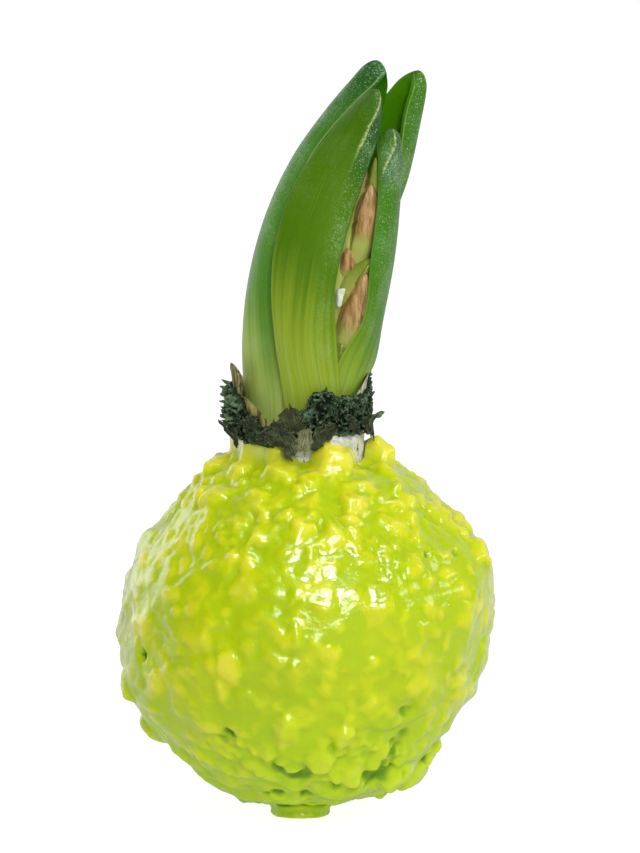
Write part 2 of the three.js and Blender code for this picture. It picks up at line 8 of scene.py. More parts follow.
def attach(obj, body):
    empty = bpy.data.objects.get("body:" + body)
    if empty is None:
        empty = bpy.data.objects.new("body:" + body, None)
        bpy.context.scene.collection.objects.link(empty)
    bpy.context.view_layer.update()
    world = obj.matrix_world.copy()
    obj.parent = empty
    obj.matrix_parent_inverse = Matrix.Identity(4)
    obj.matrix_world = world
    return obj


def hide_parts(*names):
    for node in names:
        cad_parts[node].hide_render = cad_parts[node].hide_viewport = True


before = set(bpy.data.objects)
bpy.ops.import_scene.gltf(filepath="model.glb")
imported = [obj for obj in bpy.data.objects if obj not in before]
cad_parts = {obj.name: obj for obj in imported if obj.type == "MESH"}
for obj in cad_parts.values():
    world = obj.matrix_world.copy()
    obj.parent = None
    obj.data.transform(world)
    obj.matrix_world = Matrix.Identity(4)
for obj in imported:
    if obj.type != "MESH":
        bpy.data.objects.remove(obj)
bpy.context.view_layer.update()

# The bulb
# A hyacinth bulb: fleshy scales in a papery skin, drawn up into a pale, dry, wrinkled neck. Only the neck
# shows, between the wax and the dark dead skin. It is spun from its profile like the round thing it is.
MM = 0.001
BULB_RADIUS = 29.6
BULB_MIDDLE = 35.5
BULB_ARC = (-68, 56)
BASE_PLATE = (7.5, 7.2)
SHOULDER = (12.9, 64.5)
NECK_OFFSET = -1.0
NECK_RADIUS = 12.0
NECK_BOTTOM = 68.0
NECK_TOP = 73.0
SOCKET_RADIUS = 10.8
SOCKET_FLOOR = 66.0
BULB_SIDES = 160

# The neck's wrinkles start this far below it. Their depths are shares of its radius.
WRINKLES_START = 3.0
FOLD_DEPTH = 0.012
DENT_DEPTH = 0.01


def nothing_selected():
    """Leaves object mode with nothing selected, so that an operator acts on the new piece alone."""
    if bpy.context.object and bpy.context.object.mode != "OBJECT":
        bpy.ops.object.mode_set(mode="OBJECT")
    bpy.ops.object.select_all(action="DESELECT")


def picked(piece):
    """Leaves one piece alone selected and active."""
    nothing_selected()
    piece.select_set(True)
    bpy.context.view_layer.objects.active = piece


def new_grid(name, columns, rows):
    """A flat grid from -1 to 1 each way, with its UV map, that is then bent into a piece."""
    nothing_selected()
    bpy.ops.mesh.primitive_grid_add(x_subdivisions=columns, y_subdivisions=rows, size=2)
    piece = bpy.context.object
    piece.name = name
    return piece


def places_of(piece):
    """The piece's vertices as rows of three numbers."""
    flat = np.empty(len(piece.data.vertices) * 3)
    piece.data.vertices.foreach_get("co", flat)
    return flat.reshape(-1, 3)


def put_places(piece, places):
    """Moves the piece's vertices to the rows given."""
    piece.data.vertices.foreach_set("co", np.ascontiguousarray(places, float).ravel())
    piece.data.update()


def in_edit_mode(piece, operator, **settings):
    """Runs an edit mode operator on the whole of a piece."""
    picked(piece)
    bpy.ops.object.mode_set(mode="EDIT")
    bpy.ops.mesh.select_all(action="SELECT")
    operator(**settings)
    bpy.ops.object.mode_set(mode="OBJECT")


def merged(piece, distance=1e-6):
    """Closes the seams and poles of a bent grid, where its points meet."""
    in_edit_mode(piece, bpy.ops.mesh.remove_doubles, threshold=distance)


def outwards(piece):
    """Turns all the piece's faces outwards."""
    in_edit_mode(piece, bpy.ops.mesh.normals_make_consistent, inside=False)


def shade_smooth(piece, degrees=40):
    """Smooth shading, but for edges that are sharper than the angle."""
    picked(piece)
    bpy.ops.object.shade_smooth_by_angle(angle=math.radians(degrees))


def noise_at(points, scale, seed=0.0):
    """Smooth noise from -1 to 1 at many points."""
    return np.array([noise.noise(Vector(p) * scale + Vector((seed, 0, 0))) for p in points])


def round_the_neck(degrees, distance, height):
    """Points by their compass angle, their distance from the neck's middle and their height."""
    turn = np.radians(degrees)
    return np.stack([NECK_OFFSET + distance * np.cos(turn), distance * np.sin(turn), height], -1)


def new_finish(name, roughness, **inputs):
    """A new material with the shader's plain numbers set."""
    finish = bpy.data.materials.new(name)
    finish.use_nodes = True
    shader = finish.node_tree.nodes["Principled BSDF"]
    shader.inputs["Roughness"].default_value = roughness
    for socket, value in inputs.items():
        shader.inputs[socket.replace("_", " ")].default_value = value
    return finish


def node(finish, kind, inputs=None, **settings):
    """Adds a shader node. Its inputs are numbers, colours or other nodes' outputs, by name or by place."""
    made = finish.node_tree.nodes.new("ShaderNode" + kind)
    for name, value in settings.items():
        setattr(made, name, value)
    for name, value in (inputs or {}).items():
        if isinstance(value, bpy.types.NodeSocket):
            finish.node_tree.links.new(value, made.inputs[name])
        else:
            made.inputs[name].default_value = value
    return made


def srgb(red, green, blue):
    """A colour given as it shows on a screen, 0 to 255, as the shader's own numbers."""
    def linear(value):
        share = value / 255
        return share / 12.92 if share <= 0.04045 else ((share + 0.055) / 1.055) ** 2.4

    return (linear(red), linear(green), linear(blue), 1)


def mixed(finish, share, first, second):
    return node(finish, "Mix", {0: share, 6: first, 7: second}, data_type="RGBA").outputs[2]


def math_of(finish, operation, *values):
    return node(finish, "Math", dict(enumerate(values)), operation=operation).outputs[0]


def product(finish, first, *others):
    for other in others:
        first = math_of(finish, "MULTIPLY", first, other)
    return first


def ranged(finish, value, low, high, to_low=0.0, to_high=1.0, smooth=True):
    """A number moved from one range to another, kept inside it."""
    kind = "SMOOTHSTEP" if smooth else "LINEAR"
    inputs = {0: value, 1: low, 2: high, 3: to_low, 4: to_high}
    return node(finish, "MapRange", inputs, interpolation_type=kind).outputs[0]


def tinted(finish, colour, tint, share, *limits):
    """A colour with a tint over it, by a share or, with limits, as far as a value has come between them."""
    if limits:
        share = ranged(finish, share, *limits)
    return mixed(finish, share, colour, srgb(*tint))


def stretched(finish, place, scale):
    return node(finish, "Mapping", {"Vector": place, "Scale": scale}).outputs[0]


def object_place(finish, scale=(1, 1, 1)):
    """The point's place on the piece in metres, stretched by a scale."""
    return stretched(finish, node(finish, "TexCoord").outputs["Object"], scale)


def noise_of(finish, place, scale, detail=3.0, roughness=0.55):
    inputs = {"Vector": place, "Scale": scale, "Detail": detail, "Roughness": roughness}
    return node(finish, "TexNoise", inputs).outputs[0]


def to_shader(finish, output, *sockets):
    """Feeds a node's output to sockets of the material's shader."""
    shader = finish.node_tree.nodes["Principled BSDF"]
    for socket in sockets:
        finish.node_tree.links.new(output, shader.inputs[socket])


def bumped(finish, height, distance, *sockets):
    """Bumps as high as the distance in metres, in the shader's normal and in any other socket named."""
    bump = node(finish, "Bump", {"Height": height, "Distance": distance})
    to_shader(finish, bump.outputs[0], "Normal", *sockets)


def dressed(piece, finish, slot, *nodes):
    """Gives a finished piece its material and its body, and hides the CAD nodes that it stands for. The slot
    is not used.
    """
    piece.data.materials.clear()
    piece.data.materials.append(finish)
    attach(piece, "root")
    if nodes:
        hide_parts(*nodes)


def bulb_profile(grow=0.0, top=NECK_TOP):
    """The bulb's outer profile from its base plate to its neck, as pairs of radius and height."""
    arc = np.radians(np.linspace(*BULB_ARC, 36))
    reach = BULB_RADIUS + grow
    body = [(reach * math.cos(a), BULB_MIDDLE + reach * math.sin(a)) for a in arc]
    foot = [(0, BASE_PLATE[1] - grow), (BASE_PLATE[0], BASE_PLATE[1] - grow)]
    shoulder = [(SHOULDER[0] + grow, SHOULDER[1] + grow), (NECK_RADIUS + grow, NECK_BOTTOM)]
    return foot + body + shoulder + [(NECK_RADIUS + grow, top)]


def spun(name, profile, sides):
    """A closed round solid through a profile that starts and ends on the neck's axis."""
    piece = new_grid(name, sides, len(profile) - 1)
    across, up = (places_of(piece)[:, :2].T + 1) / 2
    radius, height = np.array(profile)[np.rint(up * (len(profile) - 1)).astype(int)].T
    put_places(piece, round_the_neck(360 * across, radius, height) * MM)
    merged(piece)
    outwards(piece)
    return piece


neck_rise = [(NECK_RADIUS, z) for z in np.linspace(NECK_BOTTOM + 0.4, NECK_TOP, 14)]
socket = [(NECK_RADIUS - 0.5, NECK_TOP), (SOCKET_RADIUS, NECK_TOP), (SOCKET_RADIUS, SOCKET_FLOOR)]
profile = bulb_profile()[:-1] + neck_rise + socket + [(0, SOCKET_FLOOR)]
bulb = spun("bulb_body", profile, BULB_SIDES)
places = places_of(bulb) / MM
across = places[:, :2] - (NECK_OFFSET, 0)
turn = np.arctan2(across[:, 1], across[:, 0])
on_neck = np.linalg.norm(across, axis=1) > NECK_RADIUS - 0.7
wrinkled = np.clip((places[:, 2] - NECK_BOTTOM) / WRINKLES_START + 1, 0, 1) * on_neck
folds = noise_at(np.stack([np.cos(turn) * 9, np.sin(turn) * 9, places[:, 2] * 0.12], 1), 1)
dents = noise_at(places * (0.5, 0.5, 0.6), 1)
uneven = FOLD_DEPTH * (folds - 0.5) + DENT_DEPTH * dents
places[:, :2] *= (1 + wrinkled * uneven)[:, None]
put_places(bulb, places * MM)
shade_smooth(bulb)


def papery_skin(name, pale, dull):
    """Dry bulb skin: grey-white with lengthwise fibres and, in patches, dark specks of mould."""
    finish = new_finish(name, 0.65)
    place = object_place(finish)
    fibres = noise_of(finish, object_place(finish, (1, 1, 0.12)), 900, 4)
    colour = tinted(finish, srgb(*dull), pale, noise_of(finish, place, 260, 3), 0.35, 0.65)
    colour = tinted(finish, colour, (150, 146, 112), fibres, 0.5, 0.75, 0, 0.45)
    specks = ranged(finish, noise_of(finish, place, 1300, 3, 0.65), 0.56, 0.64)
    patches = ranged(finish, noise_of(finish, place, 330, 2), 0.42, 0.56, 0.15, 0.9)
    colour = tinted(finish, colour, (70, 74, 60), product(finish, specks, patches))
    to_shader(finish, colour, "Base Color")
    bumped(finish, fibres, 0.00015)
    return finish


dressed(bulb, papery_skin("bulb_skin", (236, 236, 226), (206, 206, 188)), "bulb_skin", "bulb")

# The wax coat
# Lime-green wax in which the bulb was dipped more than once, with crumbs of cold wax caught in it and a
# glossy film run over them. The ball starts from a cube's faces and each crumb lifts it by a formula.
WAX_RADIUS = 33.3
WAX_MIDDLE = 36.0
WAX_FACETS = 118
CRUMB_SIDES = 5
LEAN = 1.5
LEAN_HOLLOW = 0.4
LEAN_REACH = 0.7
FLAT_BOTTOM = 0.9
FLAT_RING = (26, 11)
BARE_RING = (24, 14)
UNDER_RING = (46, 35)
CLIMB_RING = (24.5, 18.5)
NECK_RING = (29, 22)

# Single forms in the wax by azimuth and elevation in degrees, half width and height in millimetres
CHUNKS = [
    (-67, 68, 3.0, 4.0),
    (-86, 60, 1.8, 1.2),
    (-106, 64, 2.9, 1.6),
    (-30, 60, 2.0, 1.4),
    (4, 66.5, 1.9, 2.4),
    (-5, 66.8, 1.3, 4.0),
    (-8, -44.5, 2.8, 2.8),
    (-10, -52, 3, 2.6),
    (-6, -64, 2.4, 1.1),
    (-38, -50, 2.6, 1.9),
    (-57, -40, 2.4, 1.4),
    (-72, -45, 2.4, 1.7),
    (-84, -39, 2.9, 1.8),
    (-76, -29, 1.9, 1.7),
    (-95, -27, 2.6, 1.1),
    (-110, -43, 2.2, 1.2),
    (-12, 22, 2.8, 1.6),
    (-20, 40, 2.2, 1.5),
    (-168, -17, 2.6, 1.5),
    (-176, -36, 2.4, 1.5),
]
# Hollows by azimuth and elevation in degrees, radius and depth in millimetres
HOLLOWS = [
    (-93, -47, 3.8, 2.6),
    (-101, -43, 2.4, 1.6),
    (-54, -48, 3.6, 2.2),
    (-74, -52, 1.8, 1.5),
    (-50, -31, 2.8, 1.2),
    (-66, -52, 2.6, 1.1),
    (-29, 26, 1.8, 1.3),
    (-24, 12, 1.6, 0.9),
    (-121, -31, 2.0, 0.9),
    (-97, 12, 2.2, 0.6),
]
# Broad swells and dents by azimuth and elevation in degrees, half width in degrees and height in millimetres
SWELLS = [
    (-3, 14, 30, 1.3),
    (-3, -39, 11, -3.3),
    (0, -10, 7, -0.7),
    (0, 36, 9, -2.4),
    (180, 62, 6, 1.4),
    (180, 29, 6, 1.5),
    (180, 43, 10, -3.1),
    (180, -25, 7, -2.6),
    (180, -50, 18, -1.5),
    (-98, -74, 9, 1.0),
]
# Where the last coat lies calmest, by azimuth, elevation and half width in degrees
CALM = (-83, 17, 13)
# How far the wax climbs the neck at each compass angle, in millimetres
CLIMBS = [
    (0, 1.2),
    (20, 2.2),
    (60, 2.4),
    (150, 3.6),
    (180, 5.0),
    (200, 5.5),
    (222, 5.2),
    (240, 4.2),
    (256, 2.7),
    (267, 1.2),
    (278, 0.9),
    (290, 1.6),
    (306, 0.9),
    (320, 0.2),
    (345, 0.5),
]
# Three kinds of loose crumb: how many, their seed, and their sizes and heights in millimetres
CHIP_SCATTER = (1700, 11, (0.4, 1.5), (0.15, 0.9))
SHARP_SCATTER = (1200, 12, (0.45, 1.8), (0.3, 1.6))
GRAIN_SCATTER = (2600, 29, (0.25, 0.75), (0.12, 0.6))
CHUNK_SEED = 13
# How steeply each kind of crumb falls away, how softly it meets what is round it, and its reach in degrees
CHIP_FORM = (1.0, 0.16, 6)
SHARP_FORM = (1.8, 0.14, 8)
GRAIN_FORM = (1.1, 0.12, 4)
CHUNK_FORM = (2.6, 0.26, 11)
# How far the crumbs' outlines wander off their five straight sides, as a share of the ball's radius
CRUMB_WANDER = 0.016
# Waves in the wax, each by its scale, its seed and its height: all over the ball, in its folds low down, in
# the edge of the last smooth coat, where earlier sheets of wax end, and round the foot
WAVES = [(3.4, 80, 0.5), (8, 12, 0.36), (18, 47, 0.14)]
FOLDS = [(4.6, 66, 1.5), (11, 71, 0.4)]
FILM_WAVES = [(2.6, 5, 0.3), (8, 9, 0.14)]
SHEET_WAVES = [(2.5, 141, 1.0), (8, 20, 0.3)]
FOOT_WAVES = [(1.4, 3, 0.13), (4, 9, 0.08)]
FOLD_RISE = 0.7
# How far above and below the ball's middle the last smooth coat thins out and ends, as shares of its radius,
# and how far it rounds the wax outside it
FILM_EDGE = (0.36, 0.62)
FILM_LEAST = 0.4
FILM_STEPS = 10
# The puddle of wax that the dipped bulb was set down in, as pairs of radius and height
FOOT_RISE = [
    (0, 0),
    (5.0, 0),
    (5.55, 0.12),
    (5.75, 0.5),
    (5.7, 1.0),
    (5.8, 1.6),
    (6.0, 2.1),
    (5.7, 2.5),
    (5.0, 2.9),
    (4.8, 3.8),
    (4.4, 5.6),
    (0, 6),
]
FOOT_MIDDLE = -0.9
# Where the painted shade in the groove above the foot starts, is full, fades and ends, by height
GROOVE_SHADE = (1.9, 2.7, 3.4, 4.6)
# The height of a crumb and the depth of a hollow that count as 1 to the wax's colours
FULL_CRUMB = 1.6
FULL_HOLLOW = 1.8
ROOM_FOR_BULB = 0.3
GOLDEN_ANGLE = math.pi * (3 - math.sqrt(5))


def seeded(seed):
    """The same row of numbers from 0 to 1 each time."""
    state = seed

    def draw():
        nonlocal state
        state = (state + 0x6D2B79F5) & 0xFFFFFFFF
        t = ((state ^ (state >> 15)) * (state | 1)) & 0xFFFFFFFF
        t ^= (t + (((t ^ (t >> 7)) * (t | 61)) & 0xFFFFFFFF)) & 0xFFFFFFFF
        return ((t ^ (t >> 14)) & 0xFFFFFFFF) / 4294967296

    return draw


def smoothstep(value, low, high):
    share = np.clip((value - low) / (high - low), 0, 1)
    return share * share * (3 - 2 * share)


def unit(rows):
    """Each row of numbers as a direction of length 1."""
    return rows / np.linalg.norm(rows, axis=1)[:, None]


def apply_modifier(piece, kind, **settings):
    """Adds a modifier, sets it up and applies it."""
    picked(piece)
    modifier = piece.modifiers.new(kind.lower(), kind)
    for name, value in settings.items():
        setattr(modifier, name, value)
    bpy.ops.object.modifier_apply(modifier=modifier.name)


def named_values(piece, **values):
    """Attributes of a piece's points, which its material reads by name."""
    for name, numbers in values.items():
        piece.data.attributes.new(name, "FLOAT", "POINT").data.foreach_set("value", numbers)


def direction_of(azimuth, elevation):
    a, e = math.radians(azimuth), math.radians(elevation)
    return np.array((math.cos(e) * math.cos(a), math.cos(e) * math.sin(a), math.sin(e)))


def degrees_from(directions, azimuth, elevation):
    return np.degrees(np.arccos(np.clip(directions @ direction_of(azimuth, elevation), -1, 1)))


def crumb_of(middle, size, height, random):
    """A crumb: a tilted plateau with an uneven five-sided outline, longer one way than the other."""
    east = np.cross((0, 0, 1), middle)
    east /= np.linalg.norm(east)
    first = random() * math.tau
    stretch = 0.7 + 0.7 * random()
    sides = []
    for k in range(CRUMB_SIDES):
        angle = first + (k + 0.7 * (random() - 0.5)) * math.tau / CRUMB_SIDES
        long_way = 1 + (stretch - 1) * abs(math.cos(angle - first))
        sides.append((math.cos(angle), math.sin(angle), size * (0.7 + 0.5 * random()) * long_way))
    slant = ((random() - 0.5) * 0.6, (random() - 0.5) * 0.6)
    return middle, east, np.cross(middle, east), sides, height, slant


def scattered_crumbs(count, seed, sizes, heights):
    """Crumbs spread unevenly over the ball, most of them small."""
    random = seeded(seed)
    made = []
    for i in range(count):
        turn = GOLDEN_ANGLE * i + (random() - 0.5) * 0.5
        tilt = math.acos(1 - (2 * i + 1) / count) + (random() - 0.5) * 2.6 / math.sqrt(count)
        middle = direction_of(math.degrees(turn), 90 - math.degrees(tilt))
        size = sizes[0] + (sizes[1] - sizes[0]) * random() ** 2.2
        height = heights[0] + (heights[1] - heights[0]) * random() ** 1.8
        made.append(crumb_of(middle, size, height * (0.6 + 0.4 * size / sizes[1]), random))
    return made


def crumb_lift(crumbs, directions, slope, softness, reach):
    """How far the crumbs lift the wax in each direction, rounded where they meet by the softness."""
    total = np.ones(len(directions))
    for middle, east, north, sides, height, slant in crumbs:
        near = np.nonzero(directions @ middle > math.cos(math.radians(reach)))[0]
        x = directions[near] @ east * WAX_RADIUS
        y = directions[near] @ north * WAX_RADIUS
        outside = np.zeros(len(near))
        for nx, ny, far in sides:
            outside += np.exp((x * nx + y * ny - far) / softness)
        outside = softness * np.log1p(outside)
        lift = height + slant[0] * x + slant[1] * y - slope * outside
        total[near] += np.exp(np.clip(lift, -5, 7) / softness)
    return softness * np.log(total)


def hollow_depth(directions, uneven):
    """How deep the single hollows are in each direction, with their rims moved in and out."""
    depth = np.zeros(len(directions))
    for azimuth, elevation, radius, deep in HOLLOWS:
        away = np.radians(degrees_from(directions, azimuth, elevation)) * WAX_RADIUS * (1 + 0.8 * uneven)
        depth = np.maximum(depth, deep * (1 - smoothstep(away, 0.1 * radius, radius)))
    return depth


def swell_height(directions):
    """How high the broad swells are in each direction, and less than nothing in the dents."""
    height = np.zeros(len(directions))
    for azimuth, elevation, wide, high in SWELLS:
        height += high * np.exp(-((degrees_from(directions, azimuth, elevation) / wide) ** 2))
    return height


def lean_at(directions):
    """How far the ball bulges towards the right above its middle and towards the left below it."""
    slope = directions[:, 0] * np.sin(math.pi * np.clip(directions[:, 2] / LEAN_REACH, -1, 1))
    return LEAN * np.where(slope > 0, slope, LEAN_HOLLOW * slope)


def climb_at(directions):
    """How far the wax has climbed the neck on each side."""
    angle = np.degrees(np.arctan2(directions[:, 1], directions[:, 0])) % 360
    angles, climbs = zip(*CLIMBS, (360, CLIMBS[0][1]))
    return np.interp(angle, angles, climbs)


def waves_at(points, waves):
    """Noise of several sizes together, each by its scale, its seed and its height."""
    return sum(high * noise_at(points, scale, seed) for scale, seed, high in waves)


def within_ring(up, ring):
    """How far a direction is inside a ring round the top, given by its outer and inner edge in degrees."""
    low, high = (math.cos(math.radians(angle)) for angle in ring)
    return smoothstep(up, low, high)


def film_at(directions):
    """How far the last smooth coat covers the crumbs: fully round the middle, and wider at the left."""
    side = 0.3 * np.clip(-directions[:, 0] - 0.25, 0, 0.6)
    away = np.abs(directions[:, 2] + 0.02) + waves_at(directions, FILM_WAVES) - side
    return 1 - smoothstep(away, *FILM_EDGE)


CHIPS = scattered_crumbs(*CHIP_SCATTER)
SHARP_CRUMBS = scattered_crumbs(*SHARP_SCATTER)
GRAINS = scattered_crumbs(*GRAIN_SCATTER)
random = seeded(CHUNK_SEED)
PLACED_CHUNKS = [crumb_of(direction_of(*chunk[:2]), *chunk[2:], random) for chunk in CHUNKS]


def wax_lifts(directions):
    """The wax's radius in each direction, and its crumbs' height and hollows' depth there."""
    up = directions[:, 2]
    wander = np.stack([noise_at(directions, 7, seed) for seed in (0, 31, 57)], 1)
    wander += 0.35 * np.stack([noise_at(directions, 19, seed) for seed in (3, 35, 61)], 1)
    warped = unit(directions + CRUMB_WANDER * wander)
    climb = climb_at(directions)
    bare = within_ring(up, NECK_RING) * (1 - smoothstep(climb, 1.0, 3.0))
    lowered = np.maximum(within_ring(-up, BARE_RING), bare)
    under = within_ring(-up, UNDER_RING)
    film = film_at(directions)

    # The crumbs, which the film, the calm patch and the run wax below lower
    chips = crumb_lift(CHIPS, warped, *CHIP_FORM)
    sharp = crumb_lift(SHARP_CRUMBS, warped, *SHARP_FORM)
    grains = crumb_lift(GRAINS, warped, *GRAIN_FORM)
    chunks = crumb_lift(PLACED_CHUNKS, warped, *CHUNK_FORM)
    chunks += 0.3 * smoothstep(chunks, 0.4, 1.6) * noise_at(warped, 24, 90)
    crumb = 0.9 * chips * (1 - 0.3 * film) + 0.85 * sharp * (1 - film) ** 1.5
    crumb += grains * (0.75 - 0.35 * film)
    calm = np.exp(-((degrees_from(directions, *CALM[:2]) / CALM[2]) ** 2))
    crumb *= (1 - 0.6 * calm) * (1 - 0.85 * under)

    # The coats of wax beneath: waves, steps where a sheet of wax ends, swells and dents, and folds low down
    sheet = waves_at(warped, SHEET_WAVES)
    layers = 0.3 + 0.5 * smoothstep(sheet, 0.0, 0.04) + 0.4 * smoothstep(sheet, 0.25, 0.29)
    relief = np.maximum(crumb * (1 - lowered), chunks) + layers * (1 - lowered)
    relief += waves_at(warped, WAVES) + swell_height(directions)
    relief += under * (FOLD_RISE + waves_at(warped, FOLDS))
    hollow = hollow_depth(directions, wander[:, 0] + wander[:, 1])
    radius = WAX_RADIUS + lean_at(directions) - FLAT_BOTTOM * within_ring(-up, FLAT_RING)
    radius += climb * within_ring(up, CLIMB_RING) + relief - hollow
    shown = np.maximum(1.3 * chips + 0.7 * sharp * (1 - film), 0.6 * chunks) + 0.8 * grains
    return radius, shown, hollow


nothing_selected()
bpy.ops.mesh.primitive_cube_add(size=2)
wax = bpy.context.object
wax.name = "wax_shell"
in_edit_mode(wax, bpy.ops.mesh.subdivide, number_cuts=WAX_FACETS - 1)
directions = unit(np.tan(places_of(wax) * math.pi / 4))
radius = wax_lifts(directions)[0]
put_places(wax, (directions * radius[:, None] + (0, 0, WAX_MIDDLE)) * MM)

# The film of the last coat rounds the crumbs that it covers. Elsewhere they stay sharp.
film = wax.vertex_groups.new(name="film")
share = FILM_LEAST + (1 - FILM_LEAST) * film_at(directions)
for step in range(1, FILM_STEPS + 1):
    chosen = np.nonzero(np.rint(share * FILM_STEPS) == step)[0]
    film.add(chosen.tolist(), step / FILM_STEPS, "REPLACE")
apply_modifier(wax, "SMOOTH", factor=0.5, iterations=4, vertex_group="film")

# The foot is joined on, and room is made for the bulb.
foot = spun("wax_foot", FOOT_RISE, 90)
places = places_of(foot) / MM - (NECK_OFFSET, 0, 0)
turn = np.arctan2(places[:, 1], places[:, 0])
around = np.stack([np.cos(turn), np.sin(turn), places[:, 2] * 0.25], 1)
places[:, :2] *= 1 + waves_at(around, FOOT_WAVES)[:, None]
put_places(foot, (places + (FOOT_MIDDLE, 0, 0)) * MM)
apply_modifier(wax, "BOOLEAN", operation="UNION", object=foot, solver="MANIFOLD")
room_top = NECK_TOP + 8
room = spun("wax_room", bulb_profile(ROOM_FOR_BULB, room_top) + [(0, room_top)], 96)
apply_modifier(wax, "BOOLEAN", operation="DIFFERENCE", object=room, solver="MANIFOLD")
for helper in (foot, room):
    bpy.data.objects.remove(helper)

places = places_of(wax) / MM
radius, crumb, hollow = wax_lifts(unit(places - (0, 0, WAX_MIDDLE)))
# Painted shade: a darker band in the groove above the foot, on its left and back, added to the hollows'
# painted shade
groove_shade = smoothstep(places[:, 2], *GROOVE_SHADE[:2]) * (1 - smoothstep(places[:, 2], *GROOVE_SHADE[2:]))
groove_shade *= smoothstep(0.5 * places[:, 1] - places[:, 0], -2.5, 1.0)
hollow = np.maximum(hollow, 1.5 * groove_shade)
named_values(wax, crumb=crumb / FULL_CRUMB, hollow=hollow / FULL_HOLLOW)
shade_smooth(wax, 75)


def attribute_of(finish, name):
    return node(finish, "Attribute", attribute_name=name).outputs["Fac"]


def unsteady(finish, value, grain, swing):
    """A value moved up and down by noise, by half the swing either way."""
    return math_of(finish, "ADD", value, math_of(finish, "MULTIPLY_ADD", grain, swing, -swing / 2))


def glossy_wax():
    """Translucent wax: yellower where a crumb stands up and greener in the film between, with painted shade
    in the hollows and the groove above the foot and painted light low down.
    """
    finish = new_finish(
        "lime_wax",
        0.34,
        IOR=1.44,
        Specular_IOR_Level=0.25,
        Subsurface_Weight=0.6,
        Subsurface_Scale=0.0011,
        Subsurface_Radius=(1.0, 0.9, 0.2),
        Coat_Weight=0.9,
        Coat_Roughness=0.11,
    )
    place = object_place(finish)
    rise = node(finish, "SeparateXYZ", {0: place}).outputs[2]
    lift = attribute_of(finish, "crumb")
    height = unsteady(finish, lift, noise_of(finish, place, 420, 4, 0.65), 0.6)
    colour = tinted(finish, srgb(180, 204, 0), (207, 215, 10), height, 0.05, 0.45)
    colour = tinted(finish, colour, (229, 225, 60), height, 0.4, 0.95)
    drift = noise_of(finish, place, 70, 2)
    colour = tinted(finish, colour, (216, 216, 18), drift, 0.5, 0.7, 0, 0.4)
    colour = tinted(finish, colour, (178, 200, 6), drift, 0.5, 0.32, 0, 0.5)
    # Painted light: brighter green towards the bottom and on the foot, as if lit from below
    colour = tinted(finish, colour, (186, 230, 16), rise, 0.034, 0.002, 0, 0.6)
    thin = product(finish, ranged(finish, rise, 0.067, 0.0715, 0, 0.6), ranged(finish, lift, 0.8, 0.2))
    colour = tinted(finish, colour, (214, 226, 148), thin)
    # Painted shade: darker green in the hollows and in the groove above the foot
    colour = tinted(finish, colour, (96, 156, 0), attribute_of(finish, "hollow"), 0.1, 0.8, 0, 0.85)
    cells = node(finish, "TexVoronoi", {"Vector": place, "Scale": 90.0}).outputs["Distance"]
    colour = tinted(finish, colour, (50, 74, 10), cells, 0.016, 0.022, 0.85, 0)
    to_shader(finish, colour, "Base Color")
    fine = noise_of(finish, place, 1100, 3)
    grain = math_of(finish, "MULTIPLY_ADD", fine, 0.35, noise_of(finish, place, 430, 3))
    bumped(finish, grain, 0.0002, "Coat Normal")
    return finish


dressed(wax, glossy_wax(), "wax", "wax_coat")

# The leaves
# Four fleshy gutter-shaped leaves with hooded tips, waxy with a whitish bloom outside and bright inside.
# Each is a grid bent through its stations, out along one face and back along the other.
LEAF_COLUMNS = 40
LEAF_ROWS = 96
LEAF_WRAP = math.radians(66)
MARGIN_THICKNESS = 0.7
RIM_STEPS = 2
THICKEST_SHARE = 0.45
